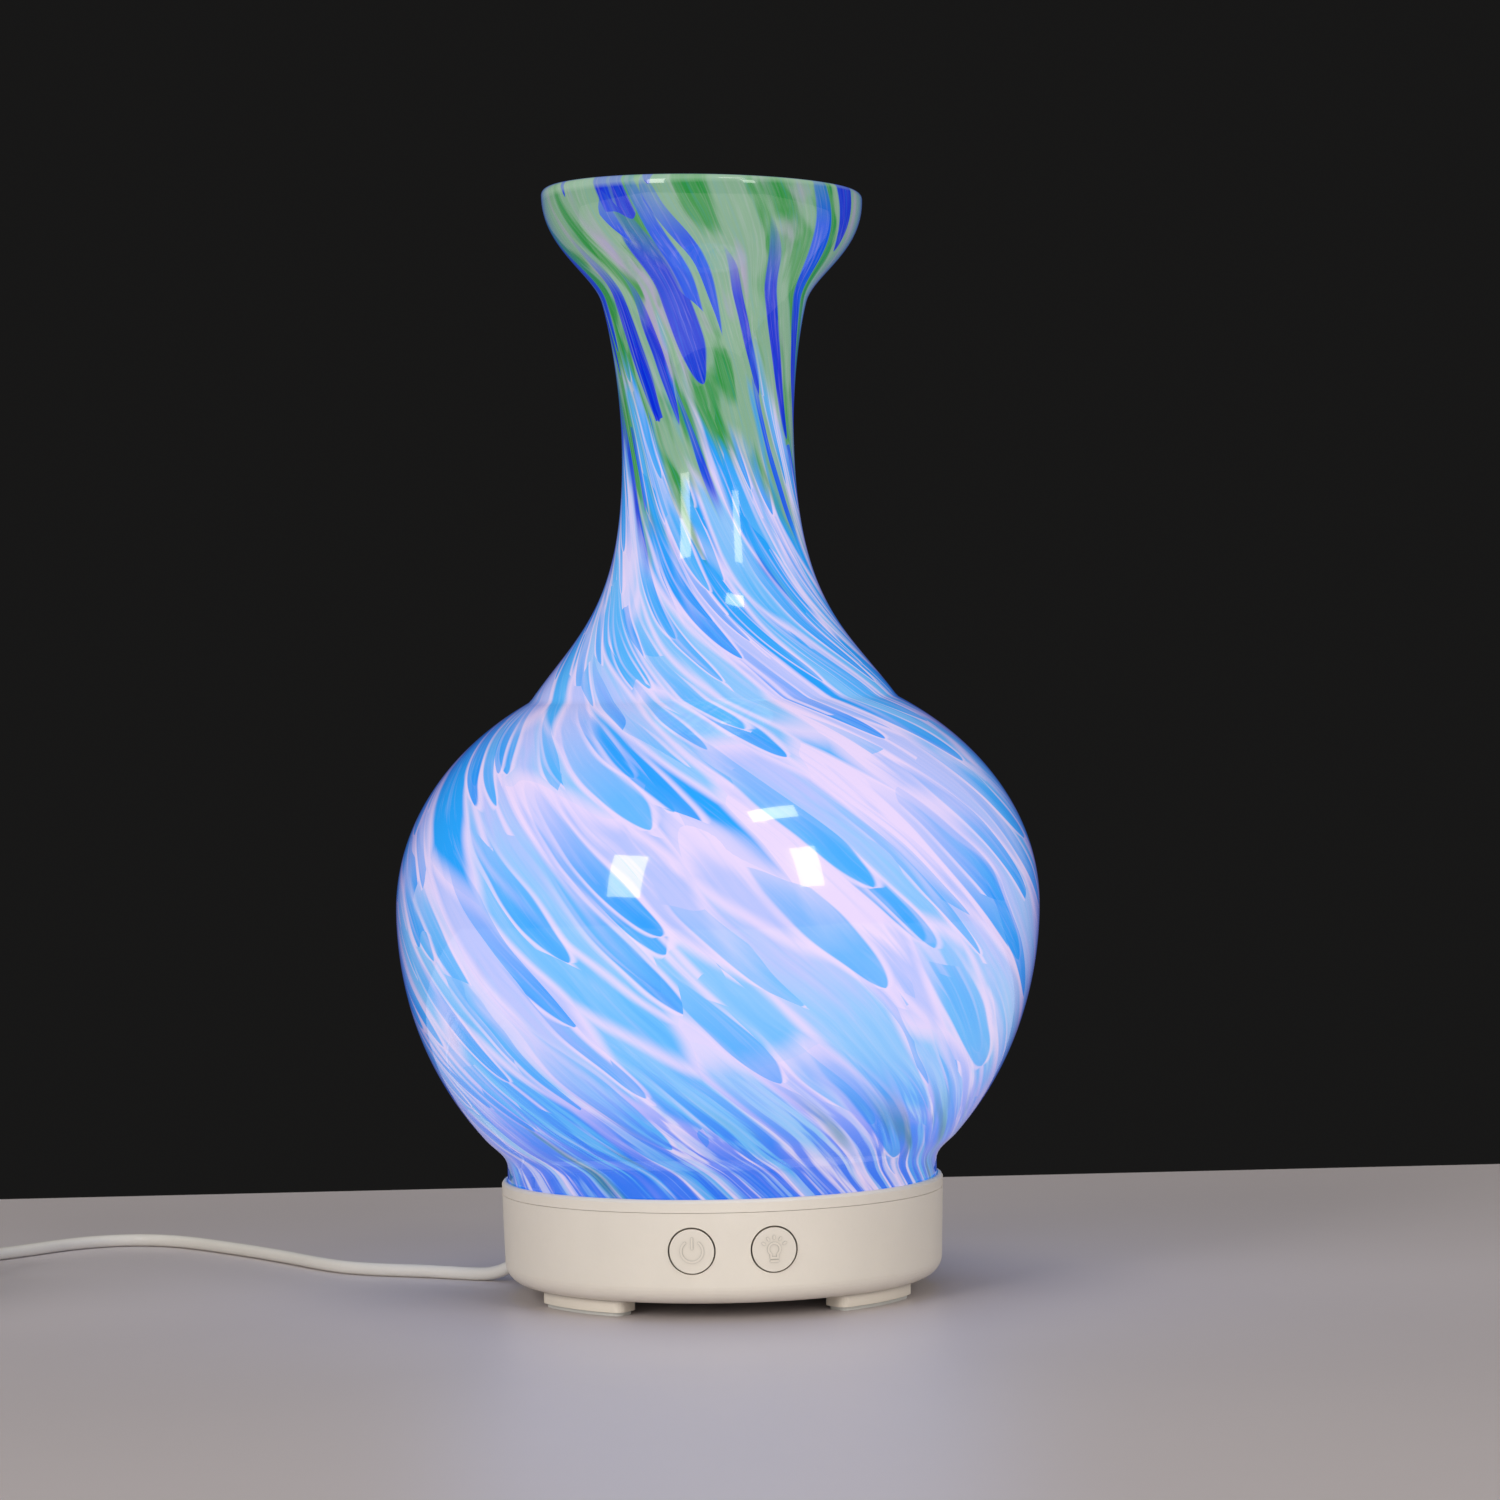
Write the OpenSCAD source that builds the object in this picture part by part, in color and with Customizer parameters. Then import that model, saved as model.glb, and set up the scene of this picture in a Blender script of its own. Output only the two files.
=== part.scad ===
// Ultrasonic essential oil diffuser: a lit glass vase on a round base.
// Millimetres. Origin under the middle of the base, on the surface that it stands on.
// +Z is up, and -Y is the front, where the two buttons are.

/* [Base] */
// Outer diameter of the base at its rim
base_d = 98; // [97:0.5:99]
// Height of the base's rim above the table
rim_z = 26; // [26:0.1:26.5]
// Thickness of the lower case's wall and floor
case_wall = 2; // [1.8:0.1:2.2]
// Radius of the rounded edge under the base
edge_round = 4.5; // [4:0.1:5]
// Gap between the table and the underside of the case
foot_h = 3.5; // [3.4:0.1:3.6]
// Thickness of the rubber pads under the feet
pad_h = 0.8; // [0.6:0.1:1]

/* [Glass] */
// Largest diameter of the glass bulb
bulb_d = 143.4; // [138:0.2:146]
// Diameter of the waist above the bulb
waist_d = 38.4; // [36:0.2:42]
// Outer diameter of the flared mouth
mouth_d = 71.2; // [66:0.2:76]
// Height of the mouth above the table
mouth_z = 245.5; // [240:0.5:250]
// Thickness of the glass
glass_wall = 2.8; // [2.5:0.1:2.8]

/* [Buttons] */
// Diameter of a button cap
button_d = 9.4; // [9:0.1:9.6]
// Distance between the two button centres
button_gap = 17.5; // [17:0.5:18]
// Height of the buttons above the table
button_z = 15.2; // [15:0.1:15.5]

/* [Tank] */
// Height of the tank's floor above the table
tank_floor_z = 32; // [32:0.2:33]
// Height of the tank's rim above the table
tank_rim_z = 58; // [56:0.5:60]
// Height of the mist spout's top above the table
spout_z = 87; // [85:0.5:90]

/* [Lead] */
// Diameter of the power lead
cord_d = 3; // [2.8:0.1:3.2]

/* [Hidden] */
$fn = 96;

fit = 0.05;             // radial play of a running fit
gap = 0.1;              // gap between faces that only rest on each other
base_r = base_d / 2;
floor_z = foot_h + case_wall;

// Glass, from the collar up
glass_z = rim_z - 0.8;                  // ground lower edge of the glass
collar_r = base_r - 1.3;
bulb_r = bulb_d / 2;
bulb_z = 86;                            // height of the widest circle
bulb_low = 74.5;                        // half height of the lower part's ellipse
bulb_high = 56;                         // half height of the upper part's ellipse
shoulder_z = 35;                        // where the collar has blended into the bulb
crease_z = 132;                         // where the bulb meets the neck
waist_r = waist_d / 2;
waist_z = 189;
mouth_r = mouth_d / 2;
lip_r = glass_wall / 2;

// Rim of the upper housing
part_z = rim_z - 2.8;                   // parting line between the two housings
lip_t = 1;                              // thickness of the rim's lip
ledge_z = rim_z - 1.1;                  // ledge that the glass stands on
tank_out_r = collar_r - glass_wall - 0.6;
tank_in_r = tank_out_r - 1.8;
tank_under_z = tank_floor_z - 2;        // underside of the tank's floor
skirt_z = rim_z - 3.8;                  // lowest edge inside the lower case
case_in_r = base_r - case_wall;
draft = 0.45;                           // the wall is this much smaller at its foot
arc_z = foot_h + edge_round;            // height of the rounded edge's centre
arc_r = base_r - draft - edge_round;    // radius of the rounded edge's centre

// Feet and case screws
foot_in_r = 36.5;
foot_out_r = 43.7;
foot_span = 36;                         // degrees
foot_corner = 2;
foot_angles = [-141, -39, 55, 125];     // degrees from +X
screw_r = 39.8;                         // radius of the circle of screws
post_r = 3.3;
post_top_z = skirt_z - gap;

// Plug bay: a channel under the left rear that ends in the jack
bay_angle = 152;
jack_mouth = 18;                        // distance of the jack's mouth from the middle
jack_z = 9.2;
jack_l = 12;
jack_w = 8.4;
jack_pin_r = 1;
plug_r = 3.9;
barrel_r = 2.75;
barrel_l = 9.4;
bay_r = plug_r + 0.5;
bay_wall = 1.2;

// Fan and the chimney above it
fan = [3, 25];
fan_w = 25;
fan_h = 7;
fan_z = 9;
fan_bore_r = 11.6;
fan_hub_r = 6;
fan_hole = 10;                          // mounting holes, along X and Y from the middle
chimney = [3, 31];
chimney_w = 18;
chimney_d = 11;
chimney_wall = 1.2;
chimney_top_z = tank_rim_z - 4;

// Boards
board_t = 1.6;
main_board_z = 9;
main_board_top = main_board_z + board_t;
button_board_y = -36.4;                 // rear face of the upright board
board_screws_at = [[-27, -7], [27, -7], [0, -28]];

// Piezo disc under the tank
disc_r = 10;
disc_t = 1.2;
seal_r = 12.1;
seal_z = tank_under_z - 3;
clamp_t = 1.6;
clamp_z = seal_z - clamp_t;
clamp_screw_r = 16.6;
clamp_angles = [30, 150, 270];

// Light ring
ring_in_r = 23;
ring_out_r = 35.5;
ring_z = tank_under_z - 2.6;
ring_t = 1;
ring_mid_r = (ring_in_r + ring_out_r) / 2;
emitter_angles = [for (i = [0:9]) 140 + i * 26];
ring_screw_angles = [153, 283, 23];

// Buttons and switches
button_x = [-button_gap / 2, button_gap / 2];
cap_r = button_d / 2;
cap_face_r = base_r + 0.2;              // the caps follow the case's curve
flange_y = -44.2;                       // front face of a cap's flange
plunger_y = flange_y + 1;
switch_y = -41.5;                       // front face of a switch
switch_w = 6;

// Power lead, coil and adapter. The route's points are millimetres.
cord_r = cord_d / 2;
lead_path = [
    [-31.8, 16.9, 9.2], [-34, 18.1, 9.2], [-36.2, 19.2, 9.2], [-39.7, 21.1, 8.5], [-43.3, 23, 6.7],
    [-45.9, 24.4, 4.8], [-48.6, 25.8, 3], [-51.5, 27.4, 1.9], [-55, 29.2, 1.5], [-61, 32.6, 1.5],
    [-68, 36.6, 1.5], [-75, 39.8, 1.5], [-81, 43, 1.5], [-86.5, 47.4, 1.5], [-92, 54.5, 1.5],
    [-96.5, 61.5, 1.5], [-101, 68.5, 1.5], [-110.4, 81.8, 1.5], [-120, 94, 1.5], [-125, 99.8, 1.5],
    [-131, 105.2, 1.5], [-138.4, 108.6, 1.5], [-147, 108.2, 1.5], [-155.4, 103.6, 1.5],
    [-163, 95.6, 1.5], [-171, 87.6, 1.5], [-181, 81.3, 1.5], [-192, 79.5, 1.5]
];
tail_path = [
    [-211.5, 60, 10.5], [-211.5, 54, 10.3], [-211.2, 49, 9.6], [-210.6, 44, 8.6], [-209.6, 39, 7.5],
    [-208.2, 35, 6.8], [-206.6, 31.5, 6.6], [-205.5, 28.5, 6.7], [-205, 26, 6.9], [-205, 23.5, 7]
];
coil_at = [-192, 60];
coil_mid_r = 16.5;                      // middle of the turns
coil_rows = 3;
coil_layers = 4;
adapter_at = [-205, -14];
adapter_size = [38, 56, 26];
adapter_split = 15;                     // height of the joint between the halves
pin_r = 2;
pin_gap = 19;
pin_l = 19;
pin_root_r = 2.8;                       // thicker part of a pin inside the adapter
pin_root_l = 6;

// ---------- shared shapes ----------

function bezier(p, n) = [
    for (i = [0:n])
        let (t = i / n, u = 1 - t)
        u * u * u * p[0] + 3 * u * u * t * p[1] + 3 * u * t * t * p[2] + t * t * t * p[3]
];

// Points of an arc in the plane
function arc(c, r, a0, a1, n) = [
    for (i = [0:n])
        let (a = a0 + (a1 - a0) * i / n)
        c + r * [cos(a), sin(a)]
];

function unit(v) = v / norm(v);

// Direction of a plane line at its point i
function along(p, i) = unit(p[min(i + 1, len(p) - 1)] - p[max(i - 1, 0)]);

// The same line moved to its left by d
function moved(p, d) = [for (i = [0:len(p) - 1]) let (t = along(p, i)) p[i] + d * [-t[1], t[0]]];

function reversed(p) = [for (i = [len(p) - 1:-1:0]) p[i]];

// Smooth curve through the points of a route, with n steps between each pair
function smooth(p, n) = concat(
    [for (i = [0:len(p) - 2], j = [0:n - 1])
        let (
            a = p[max(i - 1, 0)],
            b = p[i],
            c = p[i + 1],
            d = p[min(i + 2, len(p) - 1)],
            t = j / n
        )
        0.5 * (
            2 * b + (c - a) * t + (2 * a - 5 * b + 4 * c - d) * t * t
            + (3 * b - a - 3 * c + d) * t * t * t
        )],
    [p[len(p) - 1]]
);

// Direction square to a route at its point i, as near as it can be to ref
function across(p, i, ref) = let (t = along(p, i)) unit(ref - (ref * t) * t);

// One ring of a swept tube, square to the route
function tube_ring(p, i, r, ref, sides) =
    let (
        side = across(p, i, ref),
        up = cross(along(p, i), side)
    )
    [for (k = [0:sides - 1]) let (a = 360 * (k + 0.5) / sides) p[i] + r * (cos(a) * side + sin(a) * up)];

// Round tube along a route that never runs along ref
module tube(p, r, ref = [0, 0, 1], sides = 8) {
    n = len(p);
    points = [for (i = [0:n - 1]) each tube_ring(p, i, r, ref, sides)];
    walls = [
        for (i = [0:n - 2], k = [0:sides - 1])
            let (a = i * sides + k, b = i * sides + (k + 1) % sides)
            each [[a, b, b + sides], [a, b + sides, a + sides]]
    ];
    first = [for (k = [sides - 1:-1:0]) k];
    last = [for (k = [0:sides - 1]) (n - 1) * sides + k];
    polyhedron(points, concat([first], walls, [last]), convexity = 8);
}

// Two wires side by side along one route, set apart towards ref
module wire_pair(p, r, ref) {
    route = smooth(p, 3);
    for (side = [-1, 1])
        tube([for (i = [0:len(route) - 1]) route[i] + side * (r + 0.15) * across(route, i, ref)], r, ref);
}

module stadium(w, d) {
    square([w - d, d], center = true);
    for (x = [-1, 1])
        translate([x * (w - d) / 2, 0]) circle(d = d);
}

module tube_between(z0, z1, r_out, r_in) {
    difference() {
        translate([0, 0, z0]) cylinder(h = z1 - z0, r = r_out);
        translate([0, 0, z0 - 1]) cylinder(h = z1 - z0 + 2, r = r_in);
    }
}

// Pan-head screw, head down, from the head's lower face up
module screw(z0, z1, shank_r, head_r, head_h) {
    difference() {
        translate([0, 0, z0]) cylinder(h = head_h, r = head_r);
        translate([0, 0, z0 - 1]) cylinder(h = 1 + head_h / 2, r = head_r / 2.4, $fn = 6);
    }
    translate([0, 0, z0 + head_h]) cylinder(h = z1 - z0 - head_h, r = shank_r);
}

module at_polar(r, a) {
    rotate([0, 0, a]) translate([r, 0, 0]) children();
}

// Along the plug bay's axis: +X points out of the base
module in_bay(z) {
    rotate([0, 0, bay_angle]) translate([0, 0, z]) children();
}

// ---------- glass ----------

lower_t0 = -asin((bulb_z - shoulder_z) / bulb_low);
upper_t1 = asin((crease_z - bulb_z) / bulb_high);
shoulder_r = bulb_r * cos(lower_t0);
crease_r = bulb_r * cos(upper_t1);
lip_z = mouth_z - lip_r;
flare_z = 220;
flare_r = waist_r + 3.5;

glass_outside = concat(
    [[collar_r, glass_z + 0.4], [collar_r, glass_z + 2]],
    bezier([[collar_r, 29], [collar_r, 31.6], [shoulder_r - 2, 33], [shoulder_r, shoulder_z]], 8),
    [for (i = [1:16]) let (t = lower_t0 * (1 - i / 16)) [bulb_r * cos(t), bulb_z + bulb_low * sin(t)]],
    [for (i = [1:18]) let (t = upper_t1 * i / 18) [bulb_r * cos(t), bulb_z + bulb_high * sin(t)]],
    bezier([[crease_r - 0.4, crease_z + 0.6], [30, 147], [waist_r, 153], [waist_r, waist_z]], 18),
    bezier([[waist_r, waist_z + 1], [waist_r, 198.4], [waist_r + 1.4, 211.5], [flare_r, flare_z]], 10),
    bezier([[flare_r + 0.1, flare_z + 0.4], [flare_r + 1.8, 226.9], [mouth_r, 232.5], [mouth_r, lip_z]], 16)
);

module glass_vase() {
    outside = glass_outside;
    inside = reversed(moved(outside, glass_wall));
    lip = arc([mouth_r - lip_r, lip_z], lip_r, 0, 180, 8);
    foot = [[collar_r - glass_wall + 0.4, glass_z], [collar_r - 0.4, glass_z]];
    color("deepskyblue", 0.8)
        rotate_extrude() polygon(concat(outside, lip, inside, foot));
}

module seat_ring() {
    color("whitesmoke") tube_between(ledge_z - 1 + gap / 2, glass_z - gap, collar_r - 0.7, collar_r - 2.3);
}

// ---------- upper housing and inner cover ----------

housing_outline = [
    [base_r, part_z + gap], [base_r, rim_z - 0.7], [base_r - 0.3, rim_z - 0.2], [base_r - 0.6, rim_z],
    [base_r - lip_t, rim_z], [base_r - lip_t, ledge_z], [collar_r - 0.6, ledge_z],
    [collar_r - 0.6, ledge_z - 1], [collar_r - 2.4, ledge_z - 1], [collar_r - 2.4, ledge_z],
    [tank_out_r, ledge_z], [tank_out_r, tank_rim_z], [tank_in_r, tank_rim_z],
    [tank_in_r, tank_floor_z + 1.5], [tank_in_r - 1.5, tank_floor_z], [disc_r - 1, tank_floor_z],
    [disc_r - 1, tank_under_z], [seal_r + 0.2, tank_under_z], [seal_r + 0.2, seal_z + 0.2],
    [seal_r + 1.8, seal_z + 0.2], [seal_r + 1.8, tank_under_z], [tank_in_r, tank_under_z],
    [tank_in_r, skirt_z], [case_in_r - 0.4, skirt_z], [case_in_r - 0.4, part_z + gap]
];

module upper_housing() {
    color("whitesmoke") difference() {
        union() {
            rotate_extrude() polygon(housing_outline);
            for (a = foot_angles)
                at_polar(screw_r, a)
                    translate([0, 0, skirt_z + 0.3])
                        cylinder(h = tank_under_z - skirt_z + 0.7, r = post_r + 0.3);
            for (a = clamp_angles)
                at_polar(clamp_screw_r, a)
                    translate([0, 0, seal_z + 0.3]) cylinder(h = tank_under_z - seal_z, r = 2.4);
            for (a = ring_screw_angles)
                at_polar(ring_mid_r, a)
                    translate([0, 0, ring_z + ring_t]) cylinder(h = tank_under_z - ring_z, r = 1.8);
            translate([chimney[0], chimney[1], tank_floor_z - 1])
                linear_extrude(chimney_top_z - tank_floor_z + 1) stadium(chimney_w, chimney_d);
        }
        translate([chimney[0], chimney[1], tank_under_z - 1])
            linear_extrude(chimney_top_z - tank_under_z + 2)
                stadium(chimney_w - 2 * chimney_wall, chimney_d - 2 * chimney_wall);
        for (a = foot_angles)
            at_polar(screw_r, a) translate([0, 0, skirt_z - 1]) cylinder(h = 7.5, r = 1.3);
        for (a = clamp_angles)
            at_polar(clamp_screw_r, a) translate([0, 0, seal_z]) cylinder(h = 3.6, r = 0.95);
        for (a = ring_screw_angles)
            at_polar(ring_mid_r, a) translate([0, 0, ring_z]) cylinder(h = 3.2, r = 0.75);
    }
}

cover_t = 1.6;
cover_r = tank_out_r - 0.3;

module inner_cover() {
    dome = concat(
        bezier([[cover_r, tank_rim_z + 1.6], [cover_r - 3, 66], [26, 69.5], [11, 73]], 14),
        bezier([[10.4, 73.2], [7.4, 74.2], [6.9, 78], [6.2, spout_z]], 8)
    );
    skirt_r = tank_in_r - 0.4;
    color("ghostwhite") rotate_extrude() polygon(concat(
        [[cover_r, tank_rim_z + gap]],
        dome,
        reversed(moved(dome, cover_t)),
        [
            [skirt_r - cover_t, tank_rim_z + gap], [skirt_r - cover_t, tank_rim_z - 4],
            [skirt_r, tank_rim_z - 4], [skirt_r, tank_rim_z + gap]
        ]
    ));
}

// ---------- lower case ----------

case_outline = concat(
    [[0, foot_h]],
    arc([arc_r, arc_z], edge_round, -90, 0, 10),
    [[base_r, part_z], [case_in_r, part_z]],
    arc([arc_r, arc_z], edge_round - case_wall, 0, -90, 8),
    [[0, floor_z]]
);

function polar(r, a) = r * [cos(a), sin(a)];

// Arc between two angles without its end points
function open_arc(r, a0, a1, n) = [for (i = [1:n - 1]) polar(r, a0 + (a1 - a0) * i / n)];

// Arc-shaped block with rounded corners, as a foot and as its pad
module arc_block(r_in, r_out, half, c, h) {
    a = half - asin(c / (r_out - c));
    b = half - asin(c / (r_in + c));
    linear_extrude(h) polygon(concat(
        open_arc(r_out, -a, a, 12),
        arc(polar(r_out - c, a), c, a, half + 90, 5),
        arc(polar(r_in + c, b), c, half + 90, b + 180, 5),
        open_arc(r_in, b, -b, 12),
        arc(polar(r_in + c, -b), c, 180 - b, 270 - half, 5),
        arc(polar(r_out - c, -a), c, -half - 90, -a, 5)
    ));
}

// Round-topped channel for the plug, open below
module bay_shape(r, from, to) {
    in_bay(jack_z) translate([from, 0, 0]) rotate([0, 90, 0]) cylinder(h = to - from, r = r);
    in_bay(0) translate([from, -r, foot_h - 1]) cube([to - from, 2 * r, jack_z - foot_h + 1]);
}

module case_shell() {
    rotate_extrude() polygon(case_outline);
    for (a = foot_angles) {
        rotate([0, 0, a]) translate([0, 0, pad_h])
            arc_block(foot_in_r, foot_out_r, foot_span / 2, foot_corner, foot_h - pad_h + 0.5);
        at_polar(screw_r, a) translate([0, 0, foot_h]) cylinder(h = post_top_z - foot_h, r = post_r);
    }
}

module lower_case() {
    color("antiquewhite") difference() {
        union() {
            case_shell();
            intersection() {
                bay_shape(bay_r + bay_wall, jack_mouth, base_r);
                translate([0, 0, foot_h]) cylinder(h = part_z - foot_h, r = case_in_r - 0.5);
            }
            for (p = board_screws_at)
                translate([p[0], p[1], floor_z - 0.5]) cylinder(h = main_board_z - floor_z + 0.5, r = 2);
            for (x = [-1, 1], y = [-1, 1])
                translate([fan[0] + x * fan_hole, fan[1] + y * fan_hole, floor_z - 0.5])
                    cylinder(h = fan_z - floor_z + 0.5, r = 1.9);
            for (x = [-1, 1])
                translate([x * 17.2 - 2, button_board_y - board_t - 1.6, floor_z - 0.5])
                    cube([4, board_t + 3.2, 10]);
        }
        // buttons
        for (x = button_x)
            translate([x, -base_r - 1, button_z]) rotate([-90, 0, 0]) cylinder(h = 6, r = cap_r + 0.35);
        // slots that hold the upright button board
        translate([-18, button_board_y - board_t - 0.1, floor_z + 1])
            cube([36, board_t + 0.2, 12]);
        // plug bay
        bay_shape(bay_r, jack_mouth, base_r + 2);
        // case screws, heads sunk in the feet
        for (a = foot_angles)
            at_polar(screw_r, a) {
                translate([0, 0, foot_h]) cylinder(h = 30, r = 1.5);
                translate([0, 0, 0]) cylinder(h = foot_h, r = 2.8);
            }
        // pilot holes
        for (p = board_screws_at)
            translate([p[0], p[1], floor_z - 1]) cylinder(h = 8, r = 0.8);
        for (x = [-1, 1])
            translate([fan[0] + x * fan_hole, fan[1] + x * fan_hole, floor_z - 1]) cylinder(h = 8, r = 0.8);
        // air inlet under the fan
        for (i = [-2:2])
            translate([fan[0] + i * 3.6, fan[1], foot_h - 1])
                linear_extrude(case_wall + 2) rotate(90) stadium(17 - 2 * abs(i), 1.8);
    }
}

module foot_pads() {
    color("gainsboro") for (a = foot_angles)
        rotate([0, 0, a]) arc_block(foot_in_r + 0.6, foot_out_r - 0.6, foot_span / 2 - 1, foot_corner, pad_h);
}

module case_screws() {
    color("silver") for (a = foot_angles)
        at_polar(screw_r, a) screw(foot_h - 2.3, skirt_z + 5.5, 1.25, 2.4, 2.3, $fn = 32);
}

// ---------- buttons ----------

module button_cap(x) {
    intersection() {
        translate([x, -base_r - 2, button_z]) rotate([-90, 0, 0])
            cylinder(h = base_r + 2 + flange_y + 0.5, r = cap_r);
        cylinder(h = 30, r = cap_face_r);
    }
    translate([x, flange_y, button_z]) rotate([-90, 0, 0]) cylinder(h = 1, r = cap_r + 0.8);
}

// Raises a flat symbol a little above a cap's curved face
module symbol_relief(x) {
    intersection() {
        translate([x, flange_y - 2, button_z]) rotate([90, 0, 0]) linear_extrude(4) children();
        cylinder(h = 30, r = cap_face_r + 0.18);
    }
}

line_w = 0.42;

module arc_line(r, from, to) {
    difference() {
        circle(r = r + line_w / 2);
        circle(r = r - line_w / 2);
        polygon(concat([[0, 0]], arc([0, 0], 2 * r + 2, to, from + 360, 6)));
    }
}

module power_symbol() {
    arc_line(2.3, 125, 415);
    translate([-line_w / 2, 0.4]) square([line_w, 2.5]);
}

module bulb_symbol() {
    translate([0, 0.1]) arc_line(1.25, -55, 235);
    for (x = [-0.72, 0.72])
        translate([x - line_w / 2, -1.75]) square([line_w, 0.9]);
    for (y = [-1.95, -2.65])
        translate([-0.93, y]) square([1.86, line_w]);
    for (a = [30:30:150])
        rotate(a) translate([2.2, -line_w / 2]) square([0.8, line_w]);
}

module mist_button() {
    color("antiquewhite") {
        button_cap(button_x[0]);
        symbol_relief(button_x[0]) power_symbol();
    }
}

module light_button() {
    color("antiquewhite") {
        button_cap(button_x[1]);
        symbol_relief(button_x[1]) bulb_symbol();
    }
}

plunger_l = 3.2;
plunger_r = 1.6;

module plunger(x) {
    color("dimgray") translate([x, plunger_y + fit, button_z]) rotate([-90, 0, 0])
        cylinder(h = plunger_l, r = plunger_r, $fn = 48);
}

module mist_plunger() {
    plunger(button_x[0]);
}

module light_plunger() {
    plunger(button_x[1]);
}

module switch_body(x) {
    color("gray") difference() {
        translate([x - switch_w / 2, switch_y, button_z - switch_w / 2])
            cube([switch_w, button_board_y - board_t - switch_y, switch_w]);
        translate([x, switch_y - 1, button_z]) rotate([-90, 0, 0]) cylinder(h = 3.3, r = 1.6 + fit, $fn = 48);
    }
}

module mist_switch() {
    switch_body(button_x[0]);
}

module light_switch() {
    switch_body(button_x[1]);
}

module button_board() {
    color("darkgreen") translate([-17.8, button_board_y - board_t, floor_z + 1.2])
        cube([35.6, board_t, 14.3]);
}

// ---------- main board ----------

module main_board() {
    color("darkgreen") difference() {
        intersection() {
            translate([0, 0, main_board_z]) cylinder(h = board_t, r = 33.5);
            translate([-40, -32, main_board_z]) cube([80, 28, board_t]);
        }
        for (p = board_screws_at)
            translate([p[0], p[1], main_board_z - 1]) cylinder(h = 4, r = 1.1);
    }
}

module on_board(x, y) {
    translate([x, y, main_board_top]) children();
}

module control_chip() {
    color("black") on_board(-1, -14) {
        translate([-5, -2, 0.2]) cube([10, 4, 1.6]);
        for (i = [0:7], y = [-3, 2])
            translate([-4.65 + i * 1.27, y, 0]) cube([0.4, 1, 1]);
    }
}

module inductor() {
    color("saddlebrown") on_board(10, -10) {
        cylinder(h = 1.2, r = 4);
        cylinder(h = 9, r = 3);
        translate([0, 0, 7.8]) cylinder(h = 1.2, r = 4);
    }
}

module capacitor() {
    color("midnightblue") on_board(19.3, -14) {
        difference() {
            cylinder(h = 10.5, r = 4);
            for (a = [0, 90])
                rotate([0, 0, a]) translate([-3, -0.2, 10.2]) cube([6, 0.4, 1]);
        }
    }
}

module transistor() {
    color("black") on_board(-13.7, -12) {
        translate([-5, -4.8, 3]) cube([10, 4.3, 8.5]);
        for (x = [-2.54, 0, 2.54])
            translate([x - 0.4, -2.9, 0]) cube([0.8, 0.6, 3]);
    }
}

// Finned aluminium plate, screwed flat against the transistor
module heat_sink() {
    color("lightgray") on_board(-13.7, -12) {
        translate([-7, -0.5, 0]) cube([14, 1.6, 12]);
        for (i = [0:4])
            translate([-7 + i * 3.25, 1, 0]) cube([1, 5, 12]);
    }
}

sockets_at = [[-12, -26.5], [12, -26.5], [19, -22.5], [27, -11.5], [-26.2, -13]];

module wire_sockets() {
    color("ivory") for (p = sockets_at)
        on_board(p[0], p[1]) difference() {
            translate([-3.2, -2, 0]) cube([6.4, 4, 5]);
            translate([-2.6, -1.4, 1]) cube([5.2, 2.8, 5]);
        }
}

module board_screws() {
    color("silver") for (p = board_screws_at)
        translate([p[0], p[1], 0]) mirror([0, 0, 1])
            screw(-main_board_top - 1.3, -floor_z - 0.5, 0.75, 1.7, 1.3, $fn = 32);
}

// ---------- jack ----------

module dc_jack() {
    color("black") in_bay(jack_z) difference() {
        translate([jack_mouth - jack_l, -jack_w / 2, floor_z - jack_z]) cube([jack_l, jack_w, 8]);
        translate([jack_mouth - barrel_l - 0.6, 0, 0]) rotate([0, 90, 0])
            cylinder(h = barrel_l + 2, r = barrel_r + fit + 0.03);
    }
}

module dc_jack_pin() {
    color("silver") in_bay(jack_z) translate([jack_mouth - barrel_l - 0.6, 0, 0]) rotate([0, 90, 0])
        cylinder(h = barrel_l, r = jack_pin_r, $fn = 48);
}

// ---------- piezo disc ----------

module piezo_disc() {
    color("goldenrod") translate([0, 0, seal_z + 1]) cylinder(h = disc_t, r = disc_r);
}

module piezo_seal() {
    color("lightgray") rotate_extrude() polygon([
        [disc_r - 1.2, seal_z], [seal_r, seal_z], [seal_r, tank_under_z], [disc_r - 1, tank_under_z],
        [disc_r - 1, seal_z + 1 + disc_t], [disc_r + fit, seal_z + 1 + disc_t], [disc_r + fit, seal_z + 1],
        [disc_r - 1.2, seal_z + 1]
    ]);
}

module piezo_clamp() {
    color("silver") translate([0, 0, clamp_z]) difference() {
        union() {
            cylinder(h = clamp_t, r = seal_r + 1);
            for (a = clamp_angles)
                at_polar(clamp_screw_r, a) cylinder(h = clamp_t, r = 2.6);
            for (a = clamp_angles)
                rotate([0, 0, a]) translate([seal_r - 2, -2.6, 0])
                    cube([clamp_screw_r - seal_r + 2, 5.2, clamp_t]);
        }
        translate([0, 0, -1]) cylinder(h = clamp_t + 2, r = disc_r - 2);
        for (a = clamp_angles)
            at_polar(clamp_screw_r, a) translate([0, 0, -1]) cylinder(h = clamp_t + 2, r = 1.1);
    }
}

module piezo_screws() {
    color("silver") for (a = clamp_angles)
        at_polar(clamp_screw_r, a) screw(clamp_z - 1.3, seal_z + 3.2, 0.9, 1.8, 1.3, $fn = 32);
}

// ---------- fan ----------

shaft_r = 0.8;
blade_tip_r = fan_bore_r - 0.5;

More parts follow.
